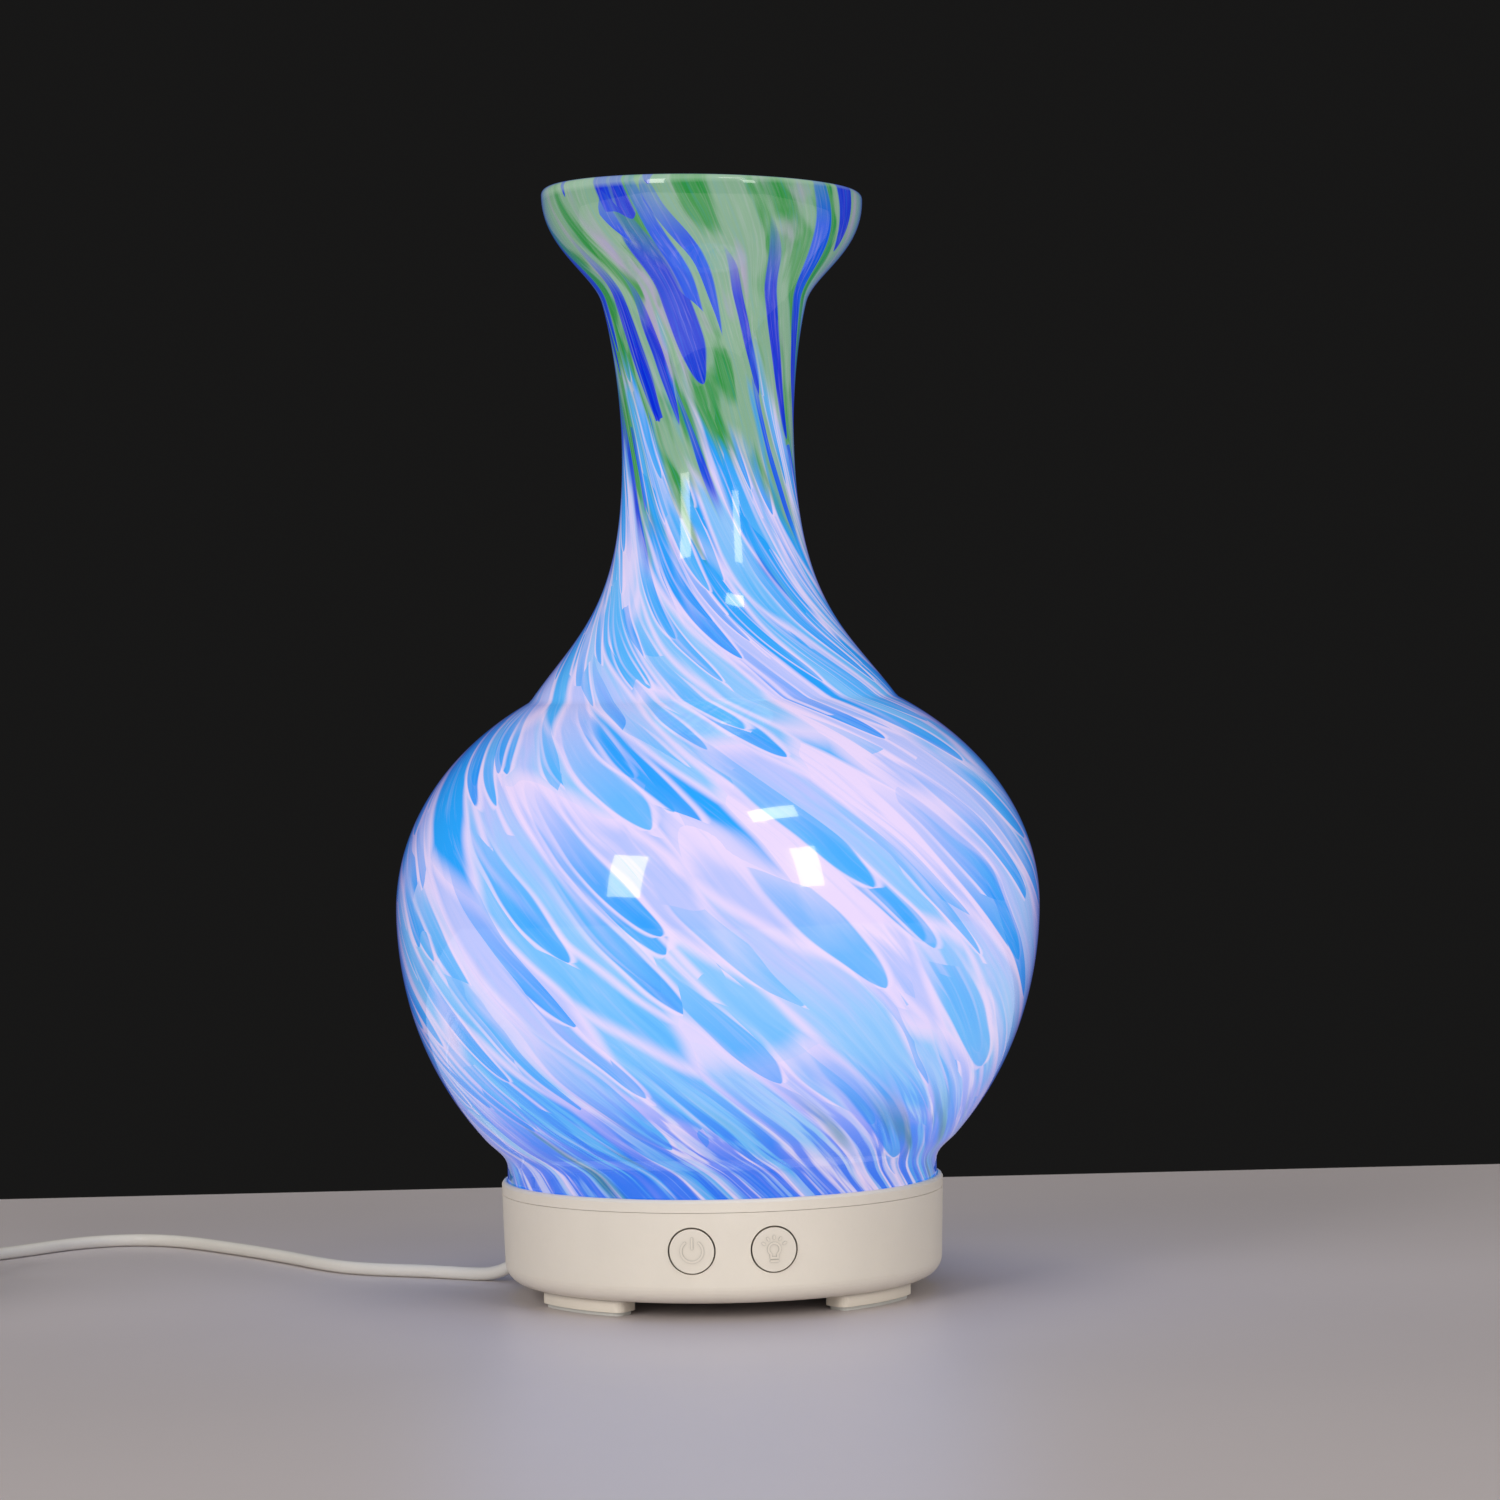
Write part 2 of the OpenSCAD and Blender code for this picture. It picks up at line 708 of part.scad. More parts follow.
module fan_frame() {
    color("black") translate([fan[0], fan[1], fan_z]) difference() {
        union() {
            difference() {
                translate([-fan_w / 2, -fan_w / 2, 0]) cube([fan_w, fan_w, fan_h]);
                translate([0, 0, -1]) cylinder(h = fan_h + 2, r = fan_bore_r);
            }
            cylinder(h = 1.2, r = fan_hub_r);
            for (a = [20:120:260])
                rotate([0, 0, a]) translate([0, -0.8, 0]) cube([fan_bore_r + 0.6, 1.6, 1.2]);
            cylinder(h = 3.4, r = 1.8);
        }
        translate([0, 0, -1]) cylinder(h = fan_h, r = shaft_r + fit, $fn = 48);
        for (x = [-1, 1])
            translate([x * fan_hole, x * fan_hole, -1]) cylinder(h = fan_h + 2, r = 1.1);
    }
}

module fan_rotor() {
    color("darkslategray") translate([fan[0], fan[1], fan_z]) {
        difference() {
            translate([0, 0, 1.6]) cylinder(h = fan_h - 2, r = fan_hub_r - 0.2);
            translate([0, 0, 1]) cylinder(h = fan_h - 2.6, r = 3);
        }
        translate([0, 0, 0.4]) cylinder(h = fan_h - 2, r = shaft_r, $fn = 48);
        for (i = [0:6])
            intersection() {
                rotate([0, 0, i * 360 / 7]) translate([fan_hub_r - 1, 0, fan_h / 2 + 0.5]) rotate([38, 0, 0])
                    translate([0, -3.6, -0.35]) cube([blade_tip_r, 7.2, 0.7]);
                translate([0, 0, 1.8]) cylinder(h = fan_h - 2.4, r = blade_tip_r);
            }
    }
}

module fan_screws() {
    color("silver") for (x = [-1, 1])
        translate([fan[0] + x * fan_hole, fan[1] + x * fan_hole, 0]) mirror([0, 0, 1])
            screw(-fan_z - fan_h - 1.2, -floor_z - 0.5, 0.75, 1.7, 1.2, $fn = 32);
}

duct_lap = 1.6;

// Box over the fan with an oval spigot that enters the chimney's port
module fan_duct() {
    top_z = fan_z + fan_h + 5;
    color("white") difference() {
        union() {
            translate([fan[0] - fan_w / 2 - 1.4, fan[1] - fan_w / 2 - 1.4, fan_z + fan_h - duct_lap])
                cube([fan_w + 2.8, fan_w + 2.8, top_z - fan_z - fan_h + duct_lap]);
            translate([chimney[0], chimney[1], top_z - 1])
                linear_extrude(tank_under_z - top_z + 1 - gap)
                    stadium(chimney_w, chimney_d);
        }
        translate([fan[0] - fan_w / 2 - 0.2, fan[1] - fan_w / 2 - 0.2, fan_z + fan_h - duct_lap - 1])
            cube([fan_w + 0.4, fan_w + 0.4, top_z - fan_z - fan_h + duct_lap]);
        translate([chimney[0], chimney[1], fan_z + fan_h])
            linear_extrude(20)
                stadium(chimney_w - 2 * chimney_wall, chimney_d - 2 * chimney_wall);
    }
}

// ---------- light ring ----------

module light_board() {
    color("white") difference() {
        tube_between(ring_z, ring_z + ring_t, ring_out_r, ring_in_r);
        translate([chimney[0] - 11, 12, ring_z - 1]) cube([22, 30, ring_t + 2]);
        for (a = ring_screw_angles)
            at_polar(ring_mid_r, a) translate([0, 0, ring_z - 1]) cylinder(h = 3, r = 0.9);
    }
}

module light_emitters() {
    color("lightyellow") for (a = emitter_angles)
        at_polar(ring_mid_r, a) translate([0, 0, ring_z + ring_t]) difference() {
            translate([-2.5, -2.5, 0]) cube([5, 5, 1.4]);
            translate([0, 0, 0.8]) cylinder(h = 1, r = 1.9, $fn = 32);
        }
}

module light_board_screws() {
    color("silver") for (a = ring_screw_angles)
        at_polar(ring_mid_r, a) screw(ring_z - 1, ring_z + 2.8, 0.7, 1.5, 1, $fn = 32);
}

// ---------- inner wires ----------

wire_r = 0.55;

module fan_wires() {
    color("crimson") wire_pair([
        [8, 11.4, 12], [9.5, 9, 12.3], [14, 5, 15], [21, -1, 18.5],
        [25.5, -7, 20.5], [27, -11.2, 18], [27, -11.5, 12.5]
    ], wire_r, [1, 0.5, 0]);
}

module piezo_wires() {
    color("crimson") wire_pair([
        [2, 0, seal_z + 0.3], [1, -3, clamp_z - 2], [1, -9, 22.5], [-3, -17, 20], [-9, -23, 19.5],
        [-11.8, -26.2, 18], [-12, -26.5, 12.5]
    ], wire_r, [1, -0.3, 0]);
}

module light_wires() {
    color("royalblue") wire_pair([
        [23.6, -16, ring_z - 0.7], [22.6, -17.5, ring_z - 1.7], [20.4, -20.5, 23.5],
        [19.1, -22.2, 18], [19, -22.5, 12.5]
    ], wire_r, [1, -0.5, 0]);
}

module button_wires() {
    color("orange") wire_pair([
        [10, -35.6, 19], [10.5, -33, 20], [11.5, -29, 20.5], [12, -26.8, 18], [12, -26.5, 12.5]
    ], wire_r, [1, 0, 0]);
}

module jack_wires() {
    color("crimson") wire_pair([
        [-4.2, 2.3, 10], [-3.6, 0.2, 13.2], [-6, -2.4, 18], [-12, -3.4, 24], [-19, -4.8, 24.2],
        [-24.5, -9.5, 22], [-26.1, -12.7, 18], [-26.2, -13, 12.5]
    ], wire_r, [0.5, -0.9, 0]);
}

// ---------- power lead ----------

relief_end = norm([lead_path[0][0], lead_path[0][1]]);
plug_end = 27;

module plug_body() {
    color("white") in_bay(jack_z) rotate([0, 90, 0]) {
        difference() {
            rotate_extrude() polygon([
                [0, jack_mouth + 0.2], [plug_r, jack_mouth + 0.2],
                [plug_r, plug_end - 1], [plug_r - 0.8, plug_end],
                [cord_r + 1, plug_end], [cord_r + 0.5, relief_end], [0, relief_end]
            ]);
            translate([0, 0, jack_mouth - 1]) cylinder(h = 4.2, r = barrel_r);
        }
        for (i = [0:3])
            translate([0, 0, plug_end + 1 + i * 2.1]) cylinder(h = 1, r = cord_r + 1.3 - i * 0.15);
    }
}

module plug_barrel() {
    color("silver") in_bay(jack_z) translate([jack_mouth - barrel_l, 0, 0]) rotate([0, 90, 0])
        difference() {
            cylinder(h = barrel_l + 3.2, r = barrel_r);
            translate([0, 0, -1]) cylinder(h = barrel_l + 1, r = jack_pin_r + fit, $fn = 48);
        }
}

module cord_lead() {
    color("white") tube(smooth(lead_path, 2), cord_r);
}

// Rounded cross-section of the wound turns
module coil_section() {
    w = coil_rows * cord_d;
    h = coil_layers * cord_d;
    translate([coil_mid_r - w / 2 + 1, 0]) square([w - 2, h]);
    translate([coil_mid_r - w / 2, 1]) square([w, h - 2]);
    for (x = [-1, 1], y = [1, h - 1])
        translate([coil_mid_r + x * (w / 2 - 1), y]) circle(r = 1, $fn = 32);
}

module cord_coil() {
    color("white") translate([coil_at[0], coil_at[1], 0]) rotate_extrude() coil_section();
}

module cord_tail() {
    color("white") tube(smooth(tail_path, 2), cord_r);
}

// Band round the turns at the coil's far side
module cable_tie() {
    w = coil_rows * cord_d + 0.8;
    h = coil_layers * cord_d + 0.5;
    color("black") translate([coil_at[0] + coil_mid_r, coil_at[1], 0]) difference() {
        translate([-w / 2 - 0.7, -2, 0]) cube([w + 1.4, 4, h + 0.7]);
        translate([-w / 2, -3, -1]) cube([w, 6, h + 1]);
    }
}

// ---------- wall adapter ----------

module adapter_block(z0, z1, inset = 0) {
    w = adapter_size[0] - 2 * inset;
    l = adapter_size[1] - 2 * inset;
    corner = 5;
    translate([adapter_at[0], adapter_at[1], z0]) linear_extrude(z1 - z0) {
        square([w - 2 * corner, l], center = true);
        square([w, l - 2 * corner], center = true);
        for (x = [-1, 1], y = [-1, 1])
            translate([x * (w / 2 - corner), y * (l / 2 - corner)]) circle(r = corner);
    }
}

relief_r = 3.4;
adapter_end_y = adapter_at[1] + adapter_size[1] / 2;

module adapter_back() {
    color("white") difference() {
        union() {
            adapter_block(0, 1.2, 1);
            adapter_block(1.2, adapter_split - gap);
        }
        translate([tail_path[9][0], adapter_end_y - 5, tail_path[9][2]]) rotate([-90, 0, 0])
            cylinder(h = 6, r = relief_r + fit);
    }
}

module adapter_front() {
    color("white") difference() {
        union() {
            adapter_block(adapter_split, adapter_size[2] - 1.2);
            adapter_block(adapter_size[2] - 1.2, adapter_size[2], 1);
        }
        for (x = [-1, 1])
            translate([adapter_at[0] + x * pin_gap / 2, adapter_at[1] - 8, adapter_size[2] - pin_root_l])
                cylinder(h = pin_root_l + 1, r = pin_root_r);
    }
}

module adapter_pins() {
    color("silver") for (x = [-1, 1])
        translate([adapter_at[0] + x * pin_gap / 2, adapter_at[1] - 8, adapter_size[2] - pin_root_l]) {
            cylinder(h = pin_root_l, r = pin_root_r);
            cylinder(h = pin_root_l + pin_l - 1, r = pin_r);
            translate([0, 0, pin_root_l + pin_l - 1]) cylinder(h = 1, r1 = pin_r, r2 = pin_r - 1);
        }
}

module adapter_relief() {
    end_y = tail_path[9][1];
    color("white") translate([tail_path[9][0], 0, tail_path[9][2]]) rotate([-90, 0, 0]) {
        rotate_extrude() polygon([
            [0, adapter_end_y - 4], [relief_r, adapter_end_y - 4], [relief_r, adapter_end_y + 2],
            [cord_r + 0.9, adapter_end_y + 2], [cord_r + 0.4, end_y], [0, end_y]
        ]);
        for (i = [0:2])
            translate([0, 0, adapter_end_y + 3 + i * 2.1]) cylinder(h = 1, r = cord_r + 1.4 - i * 0.2);
    }
}

glass_vase();
seat_ring();
upper_housing();
inner_cover();
lower_case();
foot_pads();
case_screws();
mist_button();
light_button();
mist_plunger();
light_plunger();
mist_switch();
light_switch();
button_board();
main_board();
control_chip();
inductor();
capacitor();
transistor();
heat_sink();
wire_sockets();
board_screws();
dc_jack();
dc_jack_pin();
piezo_disc();
piezo_seal();
piezo_clamp();
piezo_screws();
fan_frame();
fan_rotor();
fan_screws();
fan_duct();
light_board();
light_emitters();
light_board_screws();
fan_wires();
piezo_wires();
light_wires();
button_wires();
jack_wires();
plug_body();
plug_barrel();
cord_lead();
cord_coil();
cord_tail();
cable_tie();
adapter_front();
adapter_back();
adapter_pins();
adapter_relief();
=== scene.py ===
import math

import bpy
from mathutils import Matrix, Vector


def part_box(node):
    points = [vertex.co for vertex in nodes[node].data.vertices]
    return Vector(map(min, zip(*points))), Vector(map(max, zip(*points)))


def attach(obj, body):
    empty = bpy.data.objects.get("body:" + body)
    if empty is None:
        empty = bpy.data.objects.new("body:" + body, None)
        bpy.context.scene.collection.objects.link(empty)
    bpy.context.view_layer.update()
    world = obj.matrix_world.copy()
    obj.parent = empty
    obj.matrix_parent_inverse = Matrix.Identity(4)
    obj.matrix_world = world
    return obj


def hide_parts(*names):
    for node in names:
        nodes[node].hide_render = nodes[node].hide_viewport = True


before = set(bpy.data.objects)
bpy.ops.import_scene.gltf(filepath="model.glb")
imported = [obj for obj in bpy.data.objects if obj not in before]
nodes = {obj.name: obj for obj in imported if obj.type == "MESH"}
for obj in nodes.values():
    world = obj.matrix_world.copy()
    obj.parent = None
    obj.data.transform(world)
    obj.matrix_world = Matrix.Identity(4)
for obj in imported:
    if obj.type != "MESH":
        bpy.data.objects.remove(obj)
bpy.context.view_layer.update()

MM = 0.001


# ---------- camera ----------

CAMERA_AT = (-0.04002, -0.98269, 0.13309)  # metres
CAMERA_LENS = 106.2  # mm, on a 36 mm sensor
CAMERA_TURN = math.radians(2.79)  # to the right
CAMERA_PITCH = 0.01286  # downwards, in radians
CAMERA_ROLL = -0.01821


def make_camera():
    """Looks a little down on the front of the object from about a metre away, with a slight roll."""
    up = Vector((0, 0, 1))
    level_right = Vector((math.cos(CAMERA_TURN), -math.sin(CAMERA_TURN), 0))
    level_ahead = Vector((math.sin(CAMERA_TURN), math.cos(CAMERA_TURN), 0))
    ahead = level_ahead * math.cos(CAMERA_PITCH) - up * math.sin(CAMERA_PITCH)
    above = level_ahead * math.sin(CAMERA_PITCH) + up * math.cos(CAMERA_PITCH)
    x = level_right * math.cos(CAMERA_ROLL) + above * math.sin(CAMERA_ROLL)
    y = above * math.cos(CAMERA_ROLL) - level_right * math.sin(CAMERA_ROLL)
    data = bpy.data.cameras.new("camera")
    data.lens = CAMERA_LENS
    data.sensor_width = 36
    data.clip_start, data.clip_end = 0.05, 50
    camera = bpy.data.objects.new("camera", data)
    turned = Matrix((x, y, -ahead)).transposed().to_4x4()
    camera.matrix_world = Matrix.Translation(CAMERA_AT) @ turned
    bpy.context.scene.collection.objects.link(camera)
    bpy.context.scene.camera = camera
    bpy.context.scene.view_settings.view_transform = "Standard"


make_camera()


# ---------- node trees ----------

def srgb(r, g, b):
    """A colour given as it looks on screen, 0 to 255, as the linear numbers a shader takes."""
    return tuple(
        (c / 12.92 if c <= 0.04045 else ((c + 0.055) / 1.055) ** 2.4)
        for c in (v / 255 for v in (r, g, b))
    )


def darker(colour, share):
    """The colour with only this share of its light."""
    return tuple(c * share for c in colour)


class Tree:
    """A material and short calls that add nodes to it and return their output sockets."""

    def __init__(self, name):
        self.material = bpy.data.materials.new(name)
        self.material.use_nodes = True
        self.tree = self.material.node_tree
        self.tree.nodes.clear()
        out = self.tree.nodes.new("ShaderNodeOutputMaterial")
        self.shader = self.tree.nodes.new("ShaderNodeBsdfPrincipled")
        self.tree.links.new(self.shader.outputs[0], out.inputs["Surface"])

    def put(self, socket, value):
        if isinstance(value, bpy.types.NodeSocket):
            self.tree.links.new(value, socket)
        elif value is not None:
            if socket.type == "RGBA" and len(value) == 3:
                value = (*value, 1)
            socket.default_value = value

    def set(self, **values):
        for name, value in values.items():
            self.put(self.shader.inputs[name.replace("_", " ")], value)

    def node(self, kind, **settings):
        made = self.tree.nodes.new(kind)
        for name, value in settings.items():
            setattr(made, name, value)
        return made

    def math(self, operation, a, b=None, clamp=False):
        made = self.node("ShaderNodeMath", operation=operation, use_clamp=clamp)
        for socket, value in zip(made.inputs, (a, b)):
            self.put(socket, value)
        return made.outputs[0]

    def add(self, a, b):
        return self.math("ADD", a, b)

    def times(self, a, b):
        return self.math("MULTIPLY", a, b)

    def vector(self, operation, a, b=None):
        made = self.node("ShaderNodeVectorMath", operation=operation)
        self.put(made.inputs[0], a)
        self.put(made.inputs[1], b)
        return made.outputs["Value" if operation in ("DOT_PRODUCT", "LENGTH") else "Vector"]

    def split(self, value):
        made = self.node("ShaderNodeSeparateXYZ")
        self.put(made.inputs[0], value)
        return made.outputs[0:3]

    def join(self, x, y, z):
        made = self.node("ShaderNodeCombineXYZ")
        for socket, value in zip(made.inputs, (x, y, z)):
            self.put(socket, value)
        return made.outputs[0]

    def mix(self, share, a, b, blend="MIX"):
        made = self.node("ShaderNodeMix", data_type="RGBA", blend_type=blend)
        self.put(made.inputs["Factor"], share)
        self.put(made.inputs[6], a)
        self.put(made.inputs[7], b)
        return made.outputs[2]

    def shaded(self, colour, tone):
        """The colour times a grey tone."""
        return self.mix(1.0, colour, self.join(tone, tone, tone), "MULTIPLY")

    def range(self, value, a, b, c=0.0, d=1.0, smooth=False):
        made = self.node("ShaderNodeMapRange", interpolation_type="SMOOTHSTEP" if smooth else "LINEAR")
        for socket, number in zip(made.inputs, (value, a, b, c, d)):
            self.put(socket, number)
        return made.outputs[0]

    def ramp(self, value, stops):
        made = self.node("ShaderNodeValToRGB")
        band = made.color_ramp.elements
        while len(band) < len(stops):
            band.new(1.0)
        for element, (place, colour) in zip(band, stops):
            element.position = place
            element.color = (*colour, 1)
        self.put(made.inputs[0], value)
        return made.outputs[0]

    def noise(self, at, scale, detail=2.0, rough=0.5, distortion=0.0, colour=False):
        made = self.node("ShaderNodeTexNoise")
        self.put(made.inputs["Vector"], at)
        self.put(made.inputs["Scale"], scale)
        self.put(made.inputs["Detail"], detail)
        self.put(made.inputs["Roughness"], rough)
        self.put(made.inputs["Distortion"], distortion)
        return made.outputs["Color" if colour else "Fac"]

    def voronoi(self, at, scale=1.0, feature="F1", random_share=1.0):
        made = self.node("ShaderNodeTexVoronoi", feature=feature)
        self.put(made.inputs["Vector"], at)
        self.put(made.inputs["Scale"], scale)
        self.put(made.inputs["Randomness"], random_share)
        return made.outputs

    def bump(self, height, distance, strength):
        """A normal from a height; distance is in millimetres."""
        made = self.node("ShaderNodeBump")
        self.put(made.inputs["Strength"], strength)
        self.put(made.inputs["Distance"], distance * MM)
        self.put(made.inputs["Height"], height)
        return made.outputs[0]

    def place(self):
        """Object coordinates, which are row-frame metres at rest."""
        return self.node("ShaderNodeTexCoord").outputs["Object"]


# ---------- cord: all in millimetres ----------

CORD_R = 1.5
LEAD = [
    (-31.8, 16.9, 9.2), (-34, 18.1, 9.2), (-36.2, 19.2, 9.2), (-39.7, 21.1, 8.5), (-43.3, 23, 6.7),
    (-45.9, 24.4, 4.8), (-48.6, 25.8, 3), (-51.5, 27.4, 1.9), (-55, 29.2, 1.5), (-61, 32.6, 1.5),
    (-68, 36.6, 1.5), (-75, 39.8, 1.5), (-81, 43, 1.5), (-86.5, 47.4, 1.5), (-92, 54.5, 1.5),
    (-96.5, 61.5, 1.5), (-101, 68.5, 1.5), (-110.4, 81.8, 1.5), (-120, 94, 1.5), (-125, 99.8, 1.5),
    (-131, 105.2, 1.5), (-138.4, 108.6, 1.5), (-147, 108.2, 1.5), (-155.4, 103.6, 1.5),
    (-163, 95.6, 1.5), (-171, 87.6, 1.5), (-181, 81.3, 1.5), (-192, 79.5, 1.5),
]
TAIL = [
    (-211.5, 60, 10.5), (-211.5, 54, 10.3), (-211.2, 49, 9.6), (-210.6, 44, 8.6), (-209.6, 39, 7.5),
    (-208.2, 35, 6.8), (-206.6, 31.5, 6.6), (-205.5, 28.5, 6.7), (-205, 26, 6.9), (-205, 23.5, 7),
]
COIL_AT = (-192, 60)
COIL_RADII = (19.5, 16.5, 13.5)
COIL_LAYERS = 4
COIL_STEPS = 40  # points in a turn
CHANGE_SHARE = 1 / 3  # the share of a turn that the cord takes to cross over to the next turn
BULGE = 1.0  # how far the cord swings aside where it climbs to the next layer
QUARTER_STEPS = 10


def smooth(points, steps):
    """A curve through the points, with steps pieces between each pair."""
    out = []
    for i in range(len(points) - 1):
        a, b, c, d = (Vector(points[min(max(k, 0), len(points) - 1)]) for k in (i - 1, i, i + 1, i + 2))
        for j in range(steps):
            t = j / steps
            out.append(0.5 * (
                2 * b + (c - a) * t + (2 * a - 5 * b + 4 * c - d) * t * t
                + (3 * b - a - 3 * c + d) * t ** 3
            ))
    return out + [Vector(points[-1])]


def coil_turns():
    """Each turn's radius and height: inwards on one layer, outwards on the next, a diameter apart."""
    turns = []
    for layer in range(COIL_LAYERS):
        radii = COIL_RADII if layer % 2 == 0 else COIL_RADII[::-1]
        turns += [(r, CORD_R * (1 + 2 * layer)) for r in radii]
    return turns


def coil_point(r, z, angle):
    a = math.radians(angle)
    return Vector((COIL_AT[0] + r * math.cos(a), COIL_AT[1] + r * math.sin(a), z))


def coil_points():
    """All turns, each one's step to the next spread over a long arc, and a last quarter to the tail."""
    turns = coil_turns()
    out = []
    for (r0, z0), (r1, z1) in zip(turns, turns[1:] + turns[-1:]):
        side = BULGE if r0 == COIL_RADII[0] else -BULGE
        for j in range(COIL_STEPS):
            share = j / COIL_STEPS
            t = max(0.0, (share - (1 - CHANGE_SHARE)) / CHANGE_SHARE)
            ease = t * t * (3 - 2 * t)
            r = r0 + (r1 - r0) * ease
            if z1 != z0:
                r += side * math.sin(math.pi * t) ** 2
            out.append(coil_point(r, z0 + (z1 - z0) * ease, 90 + 360 * share))
    r, z = turns[-1]
    return out + [coil_point(r, z, 90 + 90 * j / QUARTER_STEPS) for j in range(QUARTER_STEPS)]


def make_cord():
    """One cord from the plug through the coil to the adapter."""
    route = smooth(LEAD, 4)[:-1] + coil_points() + smooth(TAIL, 4)
    curve = bpy.data.curves.new("power_cord", "CURVE")
    curve.dimensions = "3D"
    curve.bevel_depth = 1.0  # times each point's radius, which is the cord's own
    curve.bevel_resolution = 5
    curve.use_fill_caps = True
    spline = curve.splines.new("POLY")
    spline.points.add(len(route) - 1)
    for point, at in zip(spline.points, route):
        point.co = (*(at * MM), 1)
        point.radius = CORD_R * MM
    spline.use_smooth = True
    piece = bpy.data.objects.new("power_cord", curve)
    bpy.context.scene.collection.objects.link(piece)
    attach(piece, "power_lead")
    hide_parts("cord_lead", "cord_coil", "cord_tail")
    return piece


cord = make_cord()


# ---------- plastics, metals and boards ----------

PAINTED_SHADE_REACH = 0.9 * MM  # how far from a seam its painted shade reaches


def plastic(name, colour, rough=0.5, grain=0.25, depth=0.02, mottle=0.04, warm=0.0, coat=0.0, streak=0.0):
    """Moulded plastic: a fine eroded grain, faint clouding, duller patches and painted shade in seams and
    crevices.
    grain is the size of the texture and depth its height, in millimetres."""
    t = Tree(name)
    at = t.place()
    fine = t.noise(at, 1000 / grain / 2, 3, 0.6)
    cells = t.voronoi(at, 1000 / grain / 3)["Distance"]
    cloud = t.noise(at, 45, 4, 0.55, 0.4)
    patch = t.noise(at, 14, 3, 0.5, 0.8)
    tone = t.range(cloud, 0.3, 0.7, 1 - mottle, 1 + mottle)
    tint = t.join(tone, t.add(tone, -warm / 2), t.add(tone, -warm))
    shade = t.mix(1.0, colour, tint, "MULTIPLY")
    shade = t.mix(t.range(fine, 0.62, 0.75, 0, mottle * 2), shade, darker(colour, 0.6))
    if streak:
        lines = t.noise(t.vector("MULTIPLY", at, (1, 1, 0.06)), 700, 2, 0.5)
        shade = t.mix(t.range(lines, 0.5, 0.8, 0, streak), shade, darker(colour, 0.75))
    # painted shade: the colour darkens in seams, creases and hollows, where shade falls
    painted_seam_shade = t.node("ShaderNodeAmbientOcclusion", samples=8, only_local=True)
    painted_seam_shade.inputs["Distance"].default_value = PAINTED_SHADE_REACH
    height = t.add(t.times(fine, 0.6), t.times(cells, 0.8))
    t.set(
        Base_Color=t.shaded(shade, t.range(painted_seam_shade.outputs["AO"], 0.35, 0.95, 0.5, 1.0)),
        Roughness=t.add(
            t.range(patch, 0.3, 0.7, rough - 0.06, rough + 0.06), t.range(fine, 0.3, 0.7, -0.04, 0.04)
        ),
        Normal=t.bump(height, depth, 0.7),
    )
    if coat:
        t.set(Coat_Weight=coat, Coat_Roughness=0.15)
    return t.material


def metal(name, colour, rough=0.3, along=(1, 1, 0.05)):
    """Drawn or turned metal: fine lines one way, a few scratches and clouded polish."""
    t = Tree(name)
    at = t.place()
    lines = t.noise(t.vector("MULTIPLY", at, along), 5000, 3, 0.6)
    cloud = t.noise(at, 160, 3, 0.6)
    marks = t.voronoi(t.vector("MULTIPLY", at, (1, 0.2, 1)), 700, "DISTANCE_TO_EDGE")["Distance"]
    mark = t.range(marks, 0, 0.04, 1, 0)
    t.set(
        Base_Color=t.shaded(colour, t.range(cloud, 0.3, 0.7, 0.85, 1.08)),
        Metallic=1.0,
        Roughness=t.add(t.range(lines, 0.3, 0.7, rough - 0.1, rough + 0.1), t.times(mark, 0.15)),
        Normal=t.bump(t.math("SUBTRACT", lines, t.times(mark, 0.5)), 0.02, 0.6),
    )
    return t.material


def board(name, mask, copper, track):
    """Circuit board: solder mask over tracks, with bare pads on a grid and glass weave under the mask."""
    t = Tree(name)
    at = t.place()
    x, y, _ = t.split(at)
    paths = t.voronoi(t.vector("MULTIPLY", at, (1, 1, 0.2)), 260, "DISTANCE_TO_EDGE")
    line = t.range(paths["Distance"], 0.05, 0.09, 1, 0)
    grid = t.voronoi(at, 390, "F1", 0.15)["Distance"]
    region = t.range(t.noise(at, 90, 1), 0.52, 0.56)
    pad = t.times(t.range(grid, 0.17, 0.2, 1, 0), region)
    weave = t.times(t.math("SINE", t.times(x, 7000)), t.math("SINE", t.times(y, 7000)))
    shade = t.mix(t.times(line, 0.6), mask, track)
    shade = t.mix(t.range(weave, -1, 1, 0, 0.12), shade, darker(mask, 0.5))
    shade = t.mix(pad, shade, copper)
    t.set(
        Base_Color=shade,
        Metallic=t.times(pad, 0.9),
        Roughness=t.range(t.noise(at, 300, 2), 0.3, 0.7, 0.28, 0.42),
        Normal=t.bump(t.add(t.add(line, pad), t.times(weave, 0.15)), 0.03, 0.8),
    )
    return t.material


def lamp_package():
    """White package with a yellow phosphor middle."""
    t = Tree("led_package")
    at = t.place()
    spots = t.noise(at, 1500, 2, 0.6)
    glow = t.range(t.noise(at, 320, 1), 0.45, 0.55)
    t.set(
        Base_Color=t.mix(glow, srgb(240, 238, 226), srgb(236, 214, 110)),
        Roughness=t.range(spots, 0.3, 0.7, 0.25, 0.45),
        Normal=t.bump(spots, 0.02, 0.5),
    )
    return t.material


def wire(name, colour):
    """Wire insulation: smooth vinyl with a slight twist in its shine."""
    t = Tree(name)
    at = t.place()
    fine = t.noise(at, 2600, 2, 0.5)
    wave = t.noise(at, 240, 2, 0.5, 1.0)
    t.set(
        Base_Color=t.mix(t.range(wave, 0.35, 0.65, 0, 0.35), colour, darker(colour, 0.6)),
        Roughness=t.range(wave, 0.3, 0.7, 0.28, 0.46),
        Normal=t.bump(fine, 0.02, 0.5),
    )
    return t.material


